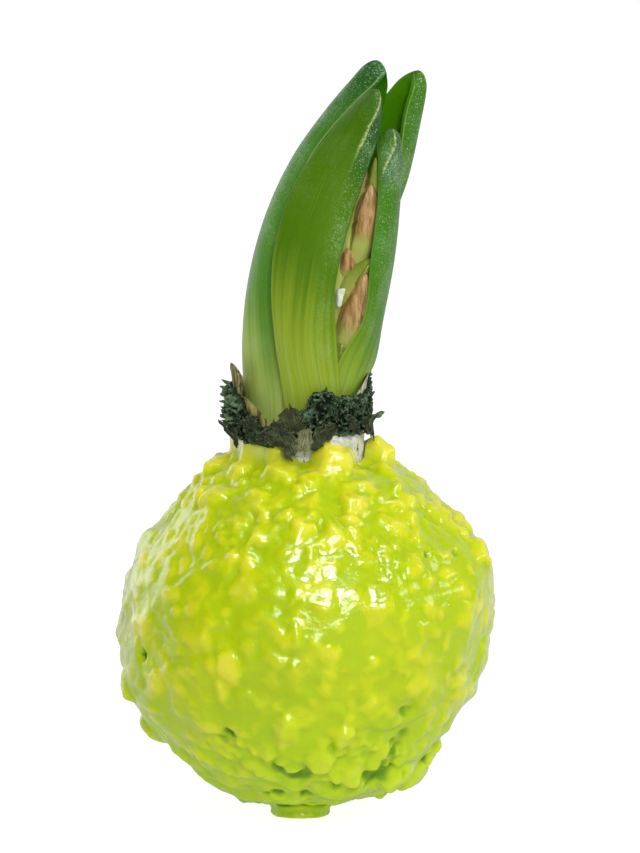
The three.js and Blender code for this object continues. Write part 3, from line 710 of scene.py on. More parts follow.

# Of each leaf: its thickness; its crease, as its place across the leaf by how far up it is, where it starts
# and is full, its height in millimetres and its half width across; the greens of its base, middle, tip and
# inner face and of its bloom; where that bloom lies and how dark the painted shade is beside its second
# margin; and its stations, each with a margin, the keel and the other margin
LEAVES = {
    "leaf_front": {
        "thickness": 2.2,
        "crease": (
            [(0.6, 0.14), (0.69, 0.03), (0.77, 0.05), (0.88, 0.38), (1.0, 0.7)],
            (0.56, 0.72),
            0.9,
            0.2,
        ),
        "colours": ((144, 166, 34), (76, 118, 0), (54, 100, 0), (50, 110, 0), (172, 202, 146)),
        "bloom_and_shade": (0.5, 0.5, 0.7, 0),
        "stations": [
            [[-4.2, -9.1, 66.3], [1.5, -10, 66.3], [6.2, -7.2, 66.3]],
            [[-3.8, -9.3, 77], [2, -10.4, 77], [6.6, -7.5, 77]],
            [[-5.6, -9.8, 90.4], [0.2, -12.4, 90.6], [5.9, -11, 90.4]],
            [[-6.3, -9.9, 100], [1, -13.2, 100.3], [5.6, -11.5, 100.1]],
            [[-5.5, -9.5, 108.5], [2.6, -13, 108.9], [7.3, -11, 108.6]],
            [[-1.5, -8.6, 120.4], [6.8, -11.8, 120.8], [11, -9.1, 120.5]],
            [[5, -6.6, 129.2], [11, -9.6, 129.6], [13.8, -6.8, 129.2]],
            [[8.6, -5.6, 133.6], [12.4, -8.4, 134.4], [14.2, -6, 133.8]],
            [[11.2, -5.0, 136.4], [12.7, -6.9, 137.8], [14.0, -5.2, 136.6]],
        ],
    },
    "leaf_left": {
        "thickness": 2.3,
        "crease": ([(0.0, 0.0), (1.0, 0.0)], (0.7, 0.95), 0.15, 0.5),
        "colours": ((184, 204, 92), (92, 144, 52), (48, 104, 24), (50, 112, 0), (176, 208, 176)),
        "bloom_and_shade": (-0.4, 1.5, 0.9, 0.6),
        "stations": [
            [[-2, 10.1, 66.3], [-11.1, 1.5, 66.3], [-4, -8.3, 66.3]],
            [[-1.4, 10.8, 77], [-11.3, 1.5, 77], [-2.9, -8.5, 77]],
            [[0.2, 11.6, 87.3], [-11.5, 1.5, 88.7], [-4.2, -8.7, 90.2]],
            [[2.5, 11.2, 98.4], [-10.1, 1.8, 99.7], [-5, -8.7, 101.2]],
            [[5.5, 9.5, 110.8], [-6.7, 2, 111.8], [-3.2, -7.4, 113.2]],
            [[10.2, 7, 122.2], [-1.4, 2.3, 122.9], [0.9, -5.4, 124]],
            [[14.2, 3.8, 132.2], [4.7, 2.2, 132.5], [8.4, -3.2, 133.3]],
            [[15.1, 2.8, 136.2], [9.9, 1.8, 139.0], [12.6, -2.2, 137.2]],
            [[15.2, 2.2, 139.4], [13.4, 1.4, 143.6], [14.7, -1.8, 139.8]],
        ],
    },
    "leaf_right": {
        "thickness": 2.0,
        "crease": ([(0.72, -0.95), (0.86, -0.2), (1.0, -0.05)], (0.69, 0.76), 0.5, 0.22),
        "colours": ((140, 166, 40), (66, 120, 12), (50, 100, 10), (50, 110, 0), (164, 196, 150)),
        "bloom_and_shade": (0.0, 1.1, 0.5, 0),
        "stations": [
            [[3.2, -7.9, 66.3], [8.5, -3.6, 66.3], [8.5, 3.5, 66.3]],
            [[4.2, -7.5, 77], [9.1, -3.6, 77], [9.1, 3.6, 77]],
            [[5, -8, 81], [10.2, -3.6, 81], [10.2, 3.8, 81]],
            [[6.3, -8.9, 86.5], [12.2, -3.5, 85.6], [12, 4.2, 84.6]],
            [[10.7, -8.8, 94.2], [14.2, -3.6, 93.4], [13.6, 4.5, 92.3]],
            [[12.2, -8.6, 105.8], [16.3, -4, 105.1], [15.5, 4.2, 104]],
            [[13.4, -7.4, 115.8], [17.3, -4, 115.3], [16.6, 3, 114.3]],
            [[13.5, -6, 123.1], [17.4, -4.6, 122.9], [17.2, 1, 122.1]],
            [[13.4, -5.2, 126.9], [17, -4.9, 127.2], [17.4, -0.6, 126.4]],
            [[14.0, -4.4, 129.0], [16.5, -4.8, 129.8], [17.4, -2.2, 129.2]],
        ],
    },
    "leaf_back": {
        "thickness": 2.2,
        "crease": ([(0.6, -0.45), (1.0, -0.3)], (0.6, 0.9), 0.35, 0.3),
        "colours": ((148, 172, 48), (66, 118, 14), (60, 116, 14), (72, 134, 0), (170, 200, 160)),
        "bloom_and_shade": (-0.6, 0.6, 0.35, 0),
        "stations": [
            [[7.5, 0.8, 66.3], [4.7, 8.4, 66.3], [-3.2, 8.4, 66.3]],
            [[8.3, 0.8, 77], [5.5, 9, 77], [-2.6, 8.9, 77]],
            [[10.5, 1, 88.7], [8, 9.8, 87.5], [-1.2, 9.5, 87.5]],
            [[12.9, 1.2, 99.9], [11.4, 9.4, 98.7], [1.2, 9, 98.7]],
            [[14.8, 1.6, 111], [14.6, 8.4, 109.9], [4.5, 7.6, 110]],
            [[17.2, 2.6, 119.8], [18.2, 8, 119.1], [8.5, 7.3, 119.3]],
            [[18.8, 1.6, 131.1], [21, 5.6, 130.5], [12.5, 6.4, 130.4]],
            [[20.1, 1.2, 135.6], [22.0, 3.9, 135.7], [16.6, 5.2, 136.2]],
            [[20.9, 1.6, 138.0], [22.6, 2.6, 140.6], [19.2, 4.6, 139.4]],
        ],
    },
}


def smooth_line(points, shares):
    """A centripetal Catmull-Rom curve through points, read at shares of its way."""
    points = np.array(points, float)
    ends = [2 * points[0] - points[1], *points, 2 * points[-1] - points[-2]]
    spans = np.clip(np.floor(shares * (len(points) - 1)).astype(int), 0, len(points) - 2)
    local = (shares * (len(points) - 1) - spans)[:, None]
    p0, p1, p2, p3 = (np.array([ends[s + k] for s in spans]) for k in range(4))
    d0, d1, d2 = (np.linalg.norm(b - a, axis=1)[:, None] ** 0.5 for a, b in ((p0, p1), (p1, p2), (p2, p3)))
    t1 = ((p1 - p0) / d0 - (p2 - p0) / (d0 + d1) + (p2 - p1) / d1) * d1
    t2 = ((p2 - p1) / d1 - (p3 - p1) / (d1 + d2) + (p3 - p2) / d2) * d1
    cubic = 2 * p1 - 2 * p2 + t1 + t2
    square = -3 * p1 + 3 * p2 - 2 * t1 - t2
    return p1 + t1 * local + square * local**2 + cubic * local**3


def length_of(rows):
    """The length of each row of numbers, and never quite nothing."""
    return np.maximum(np.linalg.norm(rows, axis=1), 1e-6)


def leaf_face(stations, along, across):
    """Points on a leaf's outer face: along runs from base to tip, across from -1 to 1 between its margins."""
    first, keel, second = (smooth_line([s[k] for s in stations], along) for k in range(3))
    last_span = 1 / (len(stations) - 1)
    near = np.maximum(0, (along - (1 - last_span)) / last_span)
    rounding = np.sqrt(np.maximum(0, 1 - near**2))[:, None]
    middle = (first + second) / 2
    angle = across * LEAF_WRAP
    bend = (np.cos(angle) - math.cos(LEAF_WRAP)) / (1 - math.cos(LEAF_WRAP))
    sway = (np.sin(angle) / math.sin(LEAF_WRAP))[:, None] * rounding
    return middle + (second - first) / 2 * sway + (keel - middle) * rounding * bend[:, None]


def crease_at(crease, along, across):
    """How much of a crease's height stands at each point and how far beyond it the point is, 0 to 1."""
    line, grows, _, width = crease
    line = np.interp(along, *zip(*line))
    grown = smoothstep(along, *grows)
    ridge = np.exp(-np.abs(across - line) / width) * grown * smoothstep(-along, -1, -0.97)
    return ridge, grown * smoothstep(across - line, -0.04, 0.1)


def blade(name, stations, thickness, columns, rows, margin=MARGIN_THICKNESS, relief=None, crease=None):
    """A closed leaf or scale: a grid that runs along its outer face and back along its inner one.

    Its section is an arc of an ellipse, and the inner face is drawn in towards the ellipse's middle."""
    loop = 2 * columns + 2 * RIM_STEPS
    piece = new_grid(name, loop, rows)
    places = places_of(piece)
    column = np.rint((places[:, 0] + 1) / 2 * loop).astype(int)
    row = np.rint((places[:, 1] + 1) / 2 * rows).astype(int)
    bends = [0, columns, columns + RIM_STEPS, 2 * columns + RIM_STEPS, loop]
    across = np.interp(column, bends, [-1, 1, 1, -1, -1])
    inside = np.interp(column, bends, [0, 0, 1, 1, 0])
    on_rim = np.sin(inside * math.pi) * (np.abs(across) > 0.999)

    # The rows crowd together towards the rounded tip
    even = np.maximum(row - 1, 0) / (rows - 1)
    last_span = 1 / (len(stations) - 1)
    tip = np.maximum(0, (even - (1 - last_span)) / last_span)
    along = np.where(tip > 0, 1 - last_span + last_span * np.sin(tip * math.pi / 2), even)

    # The outer face, and the middle of the ellipse that each section of it follows
    outer = leaf_face(stations, along, across)
    first, keel, second = (leaf_face(stations, along, across * 0 + side) for side in (-1, 0, 1))
    chord = (first + second) / 2
    middle = chord - math.cos(LEAF_WRAP) / (1 - math.cos(LEAF_WRAP)) * (keel - chord)
    outward = outer - middle
    far = length_of(outward)[:, None]

    # The inner face lies deeper at the keel than at the margins, whose rim is rounded
    margin = margin * (0.45 + 0.55 * smoothstep(along, 0.12, 0.5))
    at_margin = np.minimum(margin / length_of(first - middle), THICKEST_SHARE)
    at_keel = np.minimum(thickness / length_of(keel - middle), THICKEST_SHARE)
    share = at_margin + (at_keel - at_margin) * np.sqrt(np.maximum(0, 1 - across**2))
    depth = np.where(row == 0, 0.5, inside) * share
    aside = (second - first) * (np.sign(across) * on_rim * margin * 0.3 / length_of(second - first))[:, None]
    surface = outer - outward * depth[:, None] + np.where(far > 0.5, aside, 0)
    scurf, flank = along * 0, along * 0
    if relief:
        surface += outward / far * (relief(along, across, outer) * (1 - inside))[:, None]
    if crease:
        scurf, flank = crease_at(crease, along, across)
        surface += outward / far * (scurf * (1 - inside) * crease[2])[:, None]
    put_places(piece, surface * MM)
    named_values(piece, across=across, along=along, inside=inside, scurf=scurf * (1 - inside), flank=flank)
    merged(piece)
    outwards(piece)
    apply_modifier(piece, "SUBSURF", levels=1, render_levels=1)
    shade_smooth(piece, 80)
    return piece


def veined(along, across, outer):
    """The faint lengthwise ridges of a leaf, in millimetres."""
    return 0.035 * noise_at(np.stack([across * 13, along * 1.5, along * 0], 1), 1.0, 6)


def leaf_finish(name, base, middle, tip, inner, bloom, bloom_and_shade):
    """Living leaf: pale at its base, with fine lengthwise veins, a whitish bloom and tiny scurfy specks.

    The last argument says where the bloom lies: its middle and its reach across the leaf, its strength, and
    how dark the painted shade is in a stripe at the base beside the second margin."""
    finish = new_finish(name, 0.36, Subsurface_Weight=0.12, Subsurface_Scale=0.001, Specular_IOR_Level=0.14)
    labels = ("across", "along", "inside", "scurf", "flank")
    across, along, inside, scurf, flank = (attribute_of(finish, label) for label in labels)
    sheet = node(finish, "CombineXYZ", {0: across, 1: along}).outputs[0]
    place = object_place(finish)
    veins = noise_of(finish, stretched(finish, sheet, (30, 1.4, 1)), 1.0, 4, 0.65)
    broad = noise_of(finish, stretched(finish, sheet, (7, 1.0, 1)), 1.0, 2, 0.5)
    streak = noise_of(finish, stretched(finish, sheet, (75, 3, 1)), 1.0, 2)
    grain = noise_of(finish, place, 2200, 3, 0.7)
    height = unsteady(finish, math_of(finish, "MULTIPLY_ADD", across, 0.09, along), broad, 0.3)
    centre, reach, strength, painted_shade_depth = bloom_and_shade

    # The green itself, with its veins and, low down, brown and whitish streaks; painted shade on the flank
    # and in a stripe
    colour = tinted(finish, srgb(*base), middle, height, 0.17, 0.47)
    colour = tinted(finish, colour, tip, height, 0.5, 0.95)
    colour = tinted(finish, colour, base, veins, 0.54, 0.74, 0, 0.3)
    colour = tinted(finish, colour, (52, 92, 4), veins, 0.45, 0.28, 0, 0.35)
    # Painted shade: the flank beyond the crease is darker, as if turned away from the light
    colour = tinted(finish, colour, (28, 80, 26), product(finish, flank, 0.85))
    low = ranged(finish, height, 0.4, 0.12)
    brown = product(finish, ranged(finish, streak, 0.62, 0.72, 0, 0.45), low)
    colour = tinted(finish, colour, (112, 118, 40), brown)
    whitish = product(finish, ranged(finish, streak, 0.5, 0.32, 0, 0.4), low)
    colour = tinted(finish, colour, bloom, whitish)
    # Painted shade: a darker green stripe at the base beside the second margin, where the other leaf shades
    # it
    painted_shade_band = product(finish, ranged(finish, along, 0.75, 0.5), ranged(finish, along, 0.1, 0.24), painted_shade_depth)
    painted_shade_band = product(finish, ranged(finish, across, 0.45, 0.9), painted_shade_band)
    colour = tinted(finish, colour, (60, 122, 0), painted_shade_band)

    # The bloom, and a painted highlight along the crease
    aside = math_of(finish, "ABSOLUTE", math_of(finish, "SUBTRACT", across, centre))
    there = math_of(finish, "MAXIMUM", flank, ranged(finish, aside, reach, reach * 0.3, 0.12, 1))
    there = product(finish, there, ranged(finish, along, 0.28, 0.62, 0.25, 1))
    dust = product(finish, math_of(finish, "ADD", grain, noise_of(finish, place, 150, 3)), 0.55)
    dust = product(finish, ranged(finish, dust, 0.48, 0.78, 0, strength), there)
    colour = tinted(finish, colour, bloom, dust)
    # Painted highlight: a pale streak along the crease, broken up by the grain
    ridge = product(finish, ranged(finish, scurf, 0.66, 0.97), ranged(finish, grain, 0.3, 0.62, 0, 0.8))
    colour = tinted(finish, colour, (206, 214, 146), ridge)

    # The inner face, the pale line along the margin, partly its own paler rim and partly a painted highlight,
    # and the white flecks
    colour = tinted(finish, colour, inner, inside, 0.55, 0.95)
    # The pale line along the margin: partly the rim's own paler green, partly a painted highlight
    at_margin = ranged(finish, math_of(finish, "ABSOLUTE", across), 0.98, 1.0)
    line = product(finish, at_margin, ranged(finish, inside, 0.5, 0.15, 0, 0.35))
    colour = tinted(finish, colour, (160, 190, 96), line)
    flecks = ranged(finish, noise_of(finish, place, 4200, 1), 0.66, 0.72, 0, 0.75)
    flecks = product(finish, flecks, there, ranged(finish, inside, 0.6, 0.4))
    flecks = product(finish, flecks, ranged(finish, along, 0.3, 0.65, 0.15, 1.0))
    colour = tinted(finish, colour, (224, 234, 206), flecks)
    to_shader(finish, colour, "Base Color")
    bumped(finish, veins, 0.00008)
    return finish


for name, leaf in LEAVES.items():
    size = (leaf["thickness"], LEAF_COLUMNS, LEAF_ROWS)
    piece = blade(name + "_blade", leaf["stations"], *size, relief=veined, crease=leaf["crease"])
    dressed(piece, leaf_finish(name + "_green", *leaf["colours"], leaf["bloom_and_shade"]), "leaf", name)

# The flower spike
# A fleshy stem with closed buds set round it in a spiral. Each bud is six petals folded tight, brownish pink
# where light has reached it and green below. One bud is modelled from a ball and copied.
SPIKE_LINE = [[-0.5, 0, 66.3], [0.6, 0, 78], [4, -1.4, 93], [7.2, -2.2, 106], [11.2, -3, 118]]
BUD_COUNT = 24
BUD_LENGTH = 12.0
BUD_RADIUS = 3.0
FIRST_BUD = 0.22
LAST_BUD = 0.97
STEM_RADIUS = 3.6
SPIKE_RADIUS = 4.8
SPIKE_TIP_RADIUS = 1.2
SPIKE_SEED = 23
BUD_BEND = 0.05

# How wide a bud is by how far up it is
BUD_PROFILE = [(0, 0.5), (0.12, 0.8), (0.3, 0.98), (0.5, 1), (0.7, 0.82), (0.86, 0.52), (0.96, 0.22), (1, 0)]

# The compass angle that the gap between the leaves faces, where no bud is set by the spiral
GAP_ANGLE = math.radians(-55)

# The buds that show in the gap: base, tip and radius in millimetres, how pink they are and their turn
SHOWN_BUDS = [
    ((5.0, -4.2, 80.0), (7.0, -6.8, 90.6), 2.3, 0.0, 0.9),
    ((6.2, -4.4, 84.0), (11.4, -7.3, 103.0), 3.1, 0.7, 1.95),
    ((6.8, -3.6, 96.0), (12.4, -6.4, 105.2), 2.8, 0.08, 3.5),
    ((7.2, -3.4, 100.2), (7.9, -6.0, 107.2), 1.6, 0.85, 4.85),
    ((9.0, -3.0, 102.5), (12.4, -5.6, 119.2), 2.9, 0.75, 1.0),
    ((11.4, -3.0, 108.5), (13.1, -5.0, 124.0), 1.9, 0.12, 1.2),
]


def taken_apart(piece):
    """The points and faces of a piece that only gives a shape to others, and which is then deleted."""
    points = places_of(piece)
    faces = [tuple(face.vertices) for face in piece.data.polygons]
    bpy.data.objects.remove(piece)
    return points, faces


def joined_mesh(name, groups):
    """One object from many closed meshes, each given as its points, its faces and its named values."""
    points, faces, values = [], [], {}
    start = 0
    for group_points, group_faces, named in groups:
        points.append(group_points)
        faces += [tuple(i + start for i in face) for face in group_faces]
        start += len(group_points)
        for label, value in named.items():
            values.setdefault(label, []).append(np.broadcast_to(value, len(group_points)))
    mesh = bpy.data.meshes.new(name)
    mesh.from_pydata((np.concatenate(points) * MM).tolist(), [], faces)
    piece = bpy.data.objects.new(name, mesh)
    bpy.context.scene.collection.objects.link(piece)
    named_values(piece, **{label: np.concatenate(value) for label, value in values.items()})
    return piece


def spike_radius(share):
    """The stem's radius up to the first bud, and from there the radius that narrows to the tip."""
    past = np.maximum(0, (share - FIRST_BUD) / (1 - FIRST_BUD))
    budded = SPIKE_RADIUS + (SPIKE_TIP_RADIUS - SPIKE_RADIUS) * past**1.8
    return np.where(share < FIRST_BUD, STEM_RADIUS, budded)


nothing_selected()
bpy.ops.mesh.primitive_uv_sphere_add(segments=48, ring_count=26, radius=1)
ball, BUD_FACES = taken_apart(bpy.context.object)
share = np.arccos(np.clip(-ball[:, 2], -1, 1)) / math.pi
turn = np.arctan2(ball[:, 1], ball[:, 0])
wide = np.interp(share, *zip(*BUD_PROFILE))
wide *= np.minimum(1, np.sqrt(np.maximum(0, share) / 0.03))
petal = (turn / math.tau * 3 + 0.12 * share) % 1
fold = 0.05 * smoothstep(petal, 0, 0.08) * (1 - petal) + 0.03 * np.cos(turn * 6)
wide *= 1 + fold * smoothstep(share, 0.1, 0.35)
BUD_SHAPE = np.stack([wide * np.cos(turn), wide * np.sin(turn), share], 1)
BUD_SEAM = (petal < 0.07) * smoothstep(share, 0.2, 0.4)


def bud_at(start, heading, length, radius, spin, blush):
    """One copy of the bud: its base, the way that it points, its size, its turn about itself and its pink."""
    heading = np.array(heading, float) / np.linalg.norm(heading)
    turned = Vector(heading).to_track_quat("Z", "Y").to_matrix()
    c, s = math.cos(spin), math.sin(spin)
    local = BUD_SHAPE * (radius, radius, length)
    local = np.stack([local[:, 0] * c - local[:, 1] * s, local[:, 0] * s + local[:, 1] * c, local[:, 2]], 1)
    local[:, 0] += BUD_BEND * length * np.sin(BUD_SHAPE[:, 2] * math.pi)
    named = {"blush": blush, "budward": BUD_SHAPE[:, 2], "seam": BUD_SEAM}
    return local @ np.array(turned).T + start, BUD_FACES, named


# The core that the buds stand on
core = new_grid("spike_core", 48, 60)
flat = places_of(core)
turn = (flat[:, 0] + 1) * math.pi
share = (flat[:, 1] + 1) / 2
radius = spike_radius(share) * (1 - 0.999 * (share > 0.999)) * (1 - 0.999 * (share < 0.001))
ribs = 1 + 0.04 * np.cos(turn * 7 + share * 5)
outward = np.stack([np.cos(turn), np.sin(turn), turn * 0], 1)
put_places(core, (smooth_line(SPIKE_LINE, share) + outward * (radius * ribs)[:, None]) * MM)
merged(core, 1e-5)
points, faces = taken_apart(core)
groups = [(points / MM, faces, {"blush": 0.0, "budward": 0.3, "seam": 0.0})]

# The hidden buds stand in a spiral, and the others are placed one by one
random = seeded(SPIKE_SEED)
gap = np.array((math.cos(GAP_ANGLE), math.sin(GAP_ANGLE), 0))
for i in range(BUD_COUNT):
    share = i / (BUD_COUNT - 1)
    t = FIRST_BUD + (LAST_BUD - FIRST_BUD) * share
    size = (1 - 0.38 * share**2) * (0.92 + 0.16 * random())
    outward = np.array((math.cos(GOLDEN_ANGLE * i), math.sin(GOLDEN_ANGLE * i), 0))
    splay = 0.34 - 0.24 * share
    here, ahead = smooth_line(SPIKE_LINE, np.array([t - 0.001, t + 0.001]))
    heading = (ahead - here) / np.linalg.norm(ahead - here) + outward * splay
    start = here + outward * float(spike_radius(np.array(t))) * 0.8
    spin = random() * math.pi
    if outward @ gap <= 0.15:
        groups.append(bud_at(start, heading, BUD_LENGTH * size, BUD_RADIUS * size, spin, 0.3 + 0.5 * share))
for base, end, radius, blush, spin in SHOWN_BUDS:
    heading = np.array(end) - base
    groups.append(bud_at(base, heading, np.linalg.norm(heading), radius, spin, blush))
spike = joined_mesh("bud_spike", groups)
outwards(spike)
shade_smooth(spike, 50)


def bud_finish():
    """Closed flower buds: olive green, flushed brownish pink towards their tips, with fine veins."""
    finish = new_finish("closed_buds", 0.42, Subsurface_Weight=0.2, Subsurface_Scale=0.001)
    blush, budward, seam = (attribute_of(finish, label) for label in ("blush", "budward", "seam"))
    place = object_place(finish)
    veins = noise_of(finish, object_place(finish, (1, 1, 0.18)), 1500, 3)
    pink = unsteady(finish, blush, noise_of(finish, place, 330, 3), 0.5)
    pink = product(finish, pink, ranged(finish, budward, 0.15, 0.7, 0.1, 1.2))
    green = tinted(finish, srgb(184, 192, 92), (124, 148, 34), budward, 0.3, 0.9)
    flush = tinted(finish, srgb(148, 114, 50), (208, 166, 112), veins, 0.35, 0.65)
    colour = mixed(finish, ranged(finish, pink, 0.25, 0.75), green, flush)
    colour = tinted(finish, colour, (84, 70, 20), product(finish, seam, 0.75))
    colour = tinted(finish, colour, (214, 214, 170), noise_of(finish, place, 2600, 1), 0.7, 0.76, 0, 0.6)
    to_shader(finish, colour, "Base Color")
    bumped(finish, veins, 0.0001)
    return finish


dressed(spike, bud_finish(), "flower_bud", "flower_spike")

# The white fleck
# A scrap of dry white skin that has stuck in the gap between the leaves. It is bent from a grid, given its
# thickness and rounded.
FLECK_MIDDLE = (6.7, -8.3, 98.2)
FLECK_SIZE = (1.7, 3.4)
FLECK_THICKNESS = 0.3
fleck = new_grid("white_fleck", 8, 14)
flat = places_of(fleck)
along = flat * (0, 1, 0)
across, up = flat[:, 0], flat[:, 1]
width = FLECK_SIZE[0] / 2 * (0.75 + 0.25 * up) * (1 + 0.25 * noise_at(along, 2.4, 8))
side = across * width - 0.25 * (1 - up) + 0.15 * noise_at(along, 1.6, 30)
curl = 0.35 * across**2 + 0.25 * noise_at(flat, 1.4, 5)
rise = up * FLECK_SIZE[1] / 2 * (1 + 0.12 * noise_at(flat * (1, 0, 0), 2.2, 3))
put_places(fleck, (np.stack([side, curl, rise], 1) + FLECK_MIDDLE) * MM)
apply_modifier(fleck, "SOLIDIFY", thickness=FLECK_THICKNESS * MM, offset=0)
outwards(fleck)
apply_modifier(fleck, "SUBSURF", levels=1, render_levels=1)
shade_smooth(fleck, 60)
dressed(fleck, papery_skin("fleck_white", (238, 240, 232), (214, 220, 200)), "pale_scale")

# The dry and pale scale tips
# Tips of old bulb scales that stand up between the leaves and the dead skin, dried stiff and thin. Each is
# a small blade with its end torn and its face wrinkled.
SCALE_THICKNESS = 0.65
SCALE_MARGIN = 0.35

# Each row across a scale: the heights of its three points, their compass angles and their distance
SCALES = {
    "dry_scale_left": [
        [[73.3, 73.3, 73.3], [188, 199, 212], 12],
        [[80, 80.2, 80], [191, 201, 213], 12.6],
        [[84.0, 84.8, 83.4], [192, 203, 217], 13.1],
        [[85.2, 86.4, 84.2], [194, 202, 215], 13.7],
    ],
    "dry_scale_front": [
        [[73.3, 73.8, 74.3], [239, 242, 245], 12],
        [[76.0, 76.7, 77.4], [225, 229, 233], 12.3],
        [[79.3, 80, 80.2], [212, 215, 218], 12.8],
    ],
    "pale_scale_right": [
        [[73.3, 73.3, 73.3], [-36, -18, -2], 12],
        [[79.4, 80.2, 80.6], [-33, -16, -2], 12.4],
        [[82.2, 84.0, 84.2], [-24, -13, -2], 13.2],
    ],
}


def torn(along, across, outer):
    """The wrinkles of a dried scale, in millimetres."""
    wrinkle = noise_at(outer * (1, 1, 0.25), 1.1, 3) * 0.3 + noise_at(outer * (1, 1, 0.3), 3.0, 9) * 0.14
    return wrinkle * (0.4 + 0.6 * along)


def dry_finish(name, light, dark, burnt):
    """Dried scale: lengthwise fibres, with its tip and a few patches rotted dark."""
    finish = new_finish(name, 0.72, Specular_IOR_Level=0.3)
    fibres = noise_of(finish, object_place(finish, (1, 1, 0.15)), 1500, 4)
    blotch = noise_of(finish, object_place(finish), 520, 3)
    rotted = math_of(finish, "ADD", blotch, ranged(finish, attribute_of(finish, "along"), 0.8, 1.0, 0, burnt))
    colour = tinted(finish, srgb(*dark), light, fibres, 0.4, 0.6)
    colour = tinted(finish, colour, (46, 48, 26), rotted, 0.56, 0.7, 0, 0.85)
    to_shader(finish, colour, "Base Color")
    bumped(finish, fibres, 0.0002)
    return finish


SCALE_FINISHES = {
    "dry_scale": dry_finish("dry_scale_tan", (172, 164, 100), (92, 82, 36), 0.05),
    "pale_scale": dry_finish("pale_scale_white", (206, 212, 184), (158, 168, 128), 0.3),
}
for name, rows in SCALES.items():
    stations = [
        [round_the_neck(angle, distance, height) for height, angle in zip(heights, angles)]
        for heights, angles, distance in rows
    ]
    scale = blade(name + "_tip", stations, SCALE_THICKNESS, 14, 26, SCALE_MARGIN, torn)
    slot = name.rsplit("_", 1)[0]
    dressed(scale, SCALE_FINISHES[slot], slot, name)

# The dead skin
# What is left of the bulb's outer skins after dipping: a ragged ring of blackish green crumbs round the
# neck. The ring is bent from a grid, covered with thousands of copied crumbs and shards, and fused.
TUNIC_INNER = 12.3
TUNIC_THINNEST = 0.5
TUNIC_COLUMNS = 300
TUNIC_ROWS = 26
TUNIC_INNER_ROWS = 4
TUNIC_CRUMBS = 5200
TUNIC_SHARDS = 170
TUNIC_VOXEL = 0.155
TUNIC_KEPT = 0.58
TUNIC_SEED = 77

# How ragged the ring's lower and upper edges are, by the scale, seed and height of waves in them
LOWER_RAGS = [(11, 4, 0.6), (28, 8, 0.5)]
UPPER_RAGS = [(9, 14, 0.9), (30, 18, 0.8)]

# The part at the left of the collar where shards stick out, and the low part where fewer crumbs stand out
SHARD_ANGLES = (172, 216)
CALM_ANGLES = (210, 250)

# Single lumps on the ring by compass angle, height, distance and size
TUNIC_LUMPS = [(-12, 75.0, 13.6, 1.1), (-9, 75.3, 14.6, 1.0), (-8, 75.8, 15.3, 0.7)]

# Lower edge, upper edge and outer radius of the ring by compass angle, 0 at +X and anticlockwise
TUNIC_STATIONS = [
    [0, 71.8, 83.4, 13.0],
    [14, 71.4, 82.4, 13.2],
    [40, 70.8, 79, 13.6],
    [120, 70.4, 79, 14.0],
    [165, 71.4, 80.6, 13.3],
    [190, 72.4, 81.4, 13.3],
    [207, 72.0, 79.8, 13.6],
    [225, 71.2, 76.4, 13.8],
    [240, 71.0, 74.2, 14.0],
    [256, 71.0, 75.8, 14.0],
    [264, 71.2, 78.0, 13.9],
    [272, 71.6, 77.2, 13.9],
    [280, 72.0, 80.6, 13.8],
    [287, 72.4, 81.4, 13.8],
    [307, 72.8, 80.0, 13.6],
    [335, 72.8, 79.6, 13.3],
    [352, 72.4, 80.4, 13.1],
    [360, 71.8, 83.4, 13.0],
]


def tunic_at(degrees):
    """Lower edge, upper edge and outer radius of the ring at compass angles."""
    degrees = np.asarray(degrees) % 360
    table = np.array(TUNIC_STATIONS, float)
    after = np.clip(np.searchsorted(table[:, 0], degrees, side="right"), 1, len(table) - 1)
    share = smoothstep(degrees, table[after - 1, 0], table[after, 0])
    return (table[after - 1] + (table[after] - table[after - 1]) * share[..., None])[..., 1:].T


def belly_at(share):
    """How far the ring bulges, from its lower edge at 0 to its upper edge at 1."""
    return np.sin(math.pi * (0.12 + 0.76 * share))


ring = new_grid("dead_skin_ring", TUNIC_COLUMNS, TUNIC_ROWS)
flat = places_of(ring)
turn = (flat[:, 0] + 1) * math.pi
row = np.rint((flat[:, 1] + 1) / 2 * TUNIC_ROWS).astype(int) % TUNIC_ROWS
bottom, top, reach = tunic_at(np.degrees(turn))
edge = np.stack([np.cos(turn), np.sin(turn), turn * 0], 1)
bottom = bottom + waves_at(edge, LOWER_RAGS)
top = top + waves_at(edge, UPPER_RAGS)
outer_rows = TUNIC_ROWS - TUNIC_INNER_ROWS
share = np.minimum(row, outer_rows) / outer_rows
radius = TUNIC_INNER + TUNIC_THINNEST + (reach - TUNIC_INNER - 2 * TUNIC_THINNEST) * belly_at(share)
height = bottom + (top - bottom) * share
for inner_row, share_up in enumerate((0.95, 0.6, 0.1), outer_rows + 1):
    here = row == inner_row
    radius[here] = TUNIC_INNER
    height[here] = (bottom + (top - bottom) * share_up)[here]
put_places(ring, round_the_neck(np.degrees(turn), radius, height) * MM)
merged(ring)
outwards(ring)
points, faces = taken_apart(ring)
groups = [(points / MM, faces, {})]

nothing_selected()
bpy.ops.mesh.primitive_ico_sphere_add(subdivisions=1, radius=1)
CRUMB_SHAPE, CRUMB_FACES = taken_apart(bpy.context.object)
random = seeded(TUNIC_SEED)


def rough_crumb(centre, stretch, heading):
    """A copy of the crumb with its corners moved at random, stretched along its heading."""
    jitter = np.array([[random() - 0.5 for _ in range(3)] for _ in CRUMB_SHAPE]) * 0.9
    turned = np.array(Vector(heading).to_track_quat("Z", "Y").to_matrix())
    return (CRUMB_SHAPE + jitter) * stretch @ turned.T + centre, CRUMB_FACES, {}


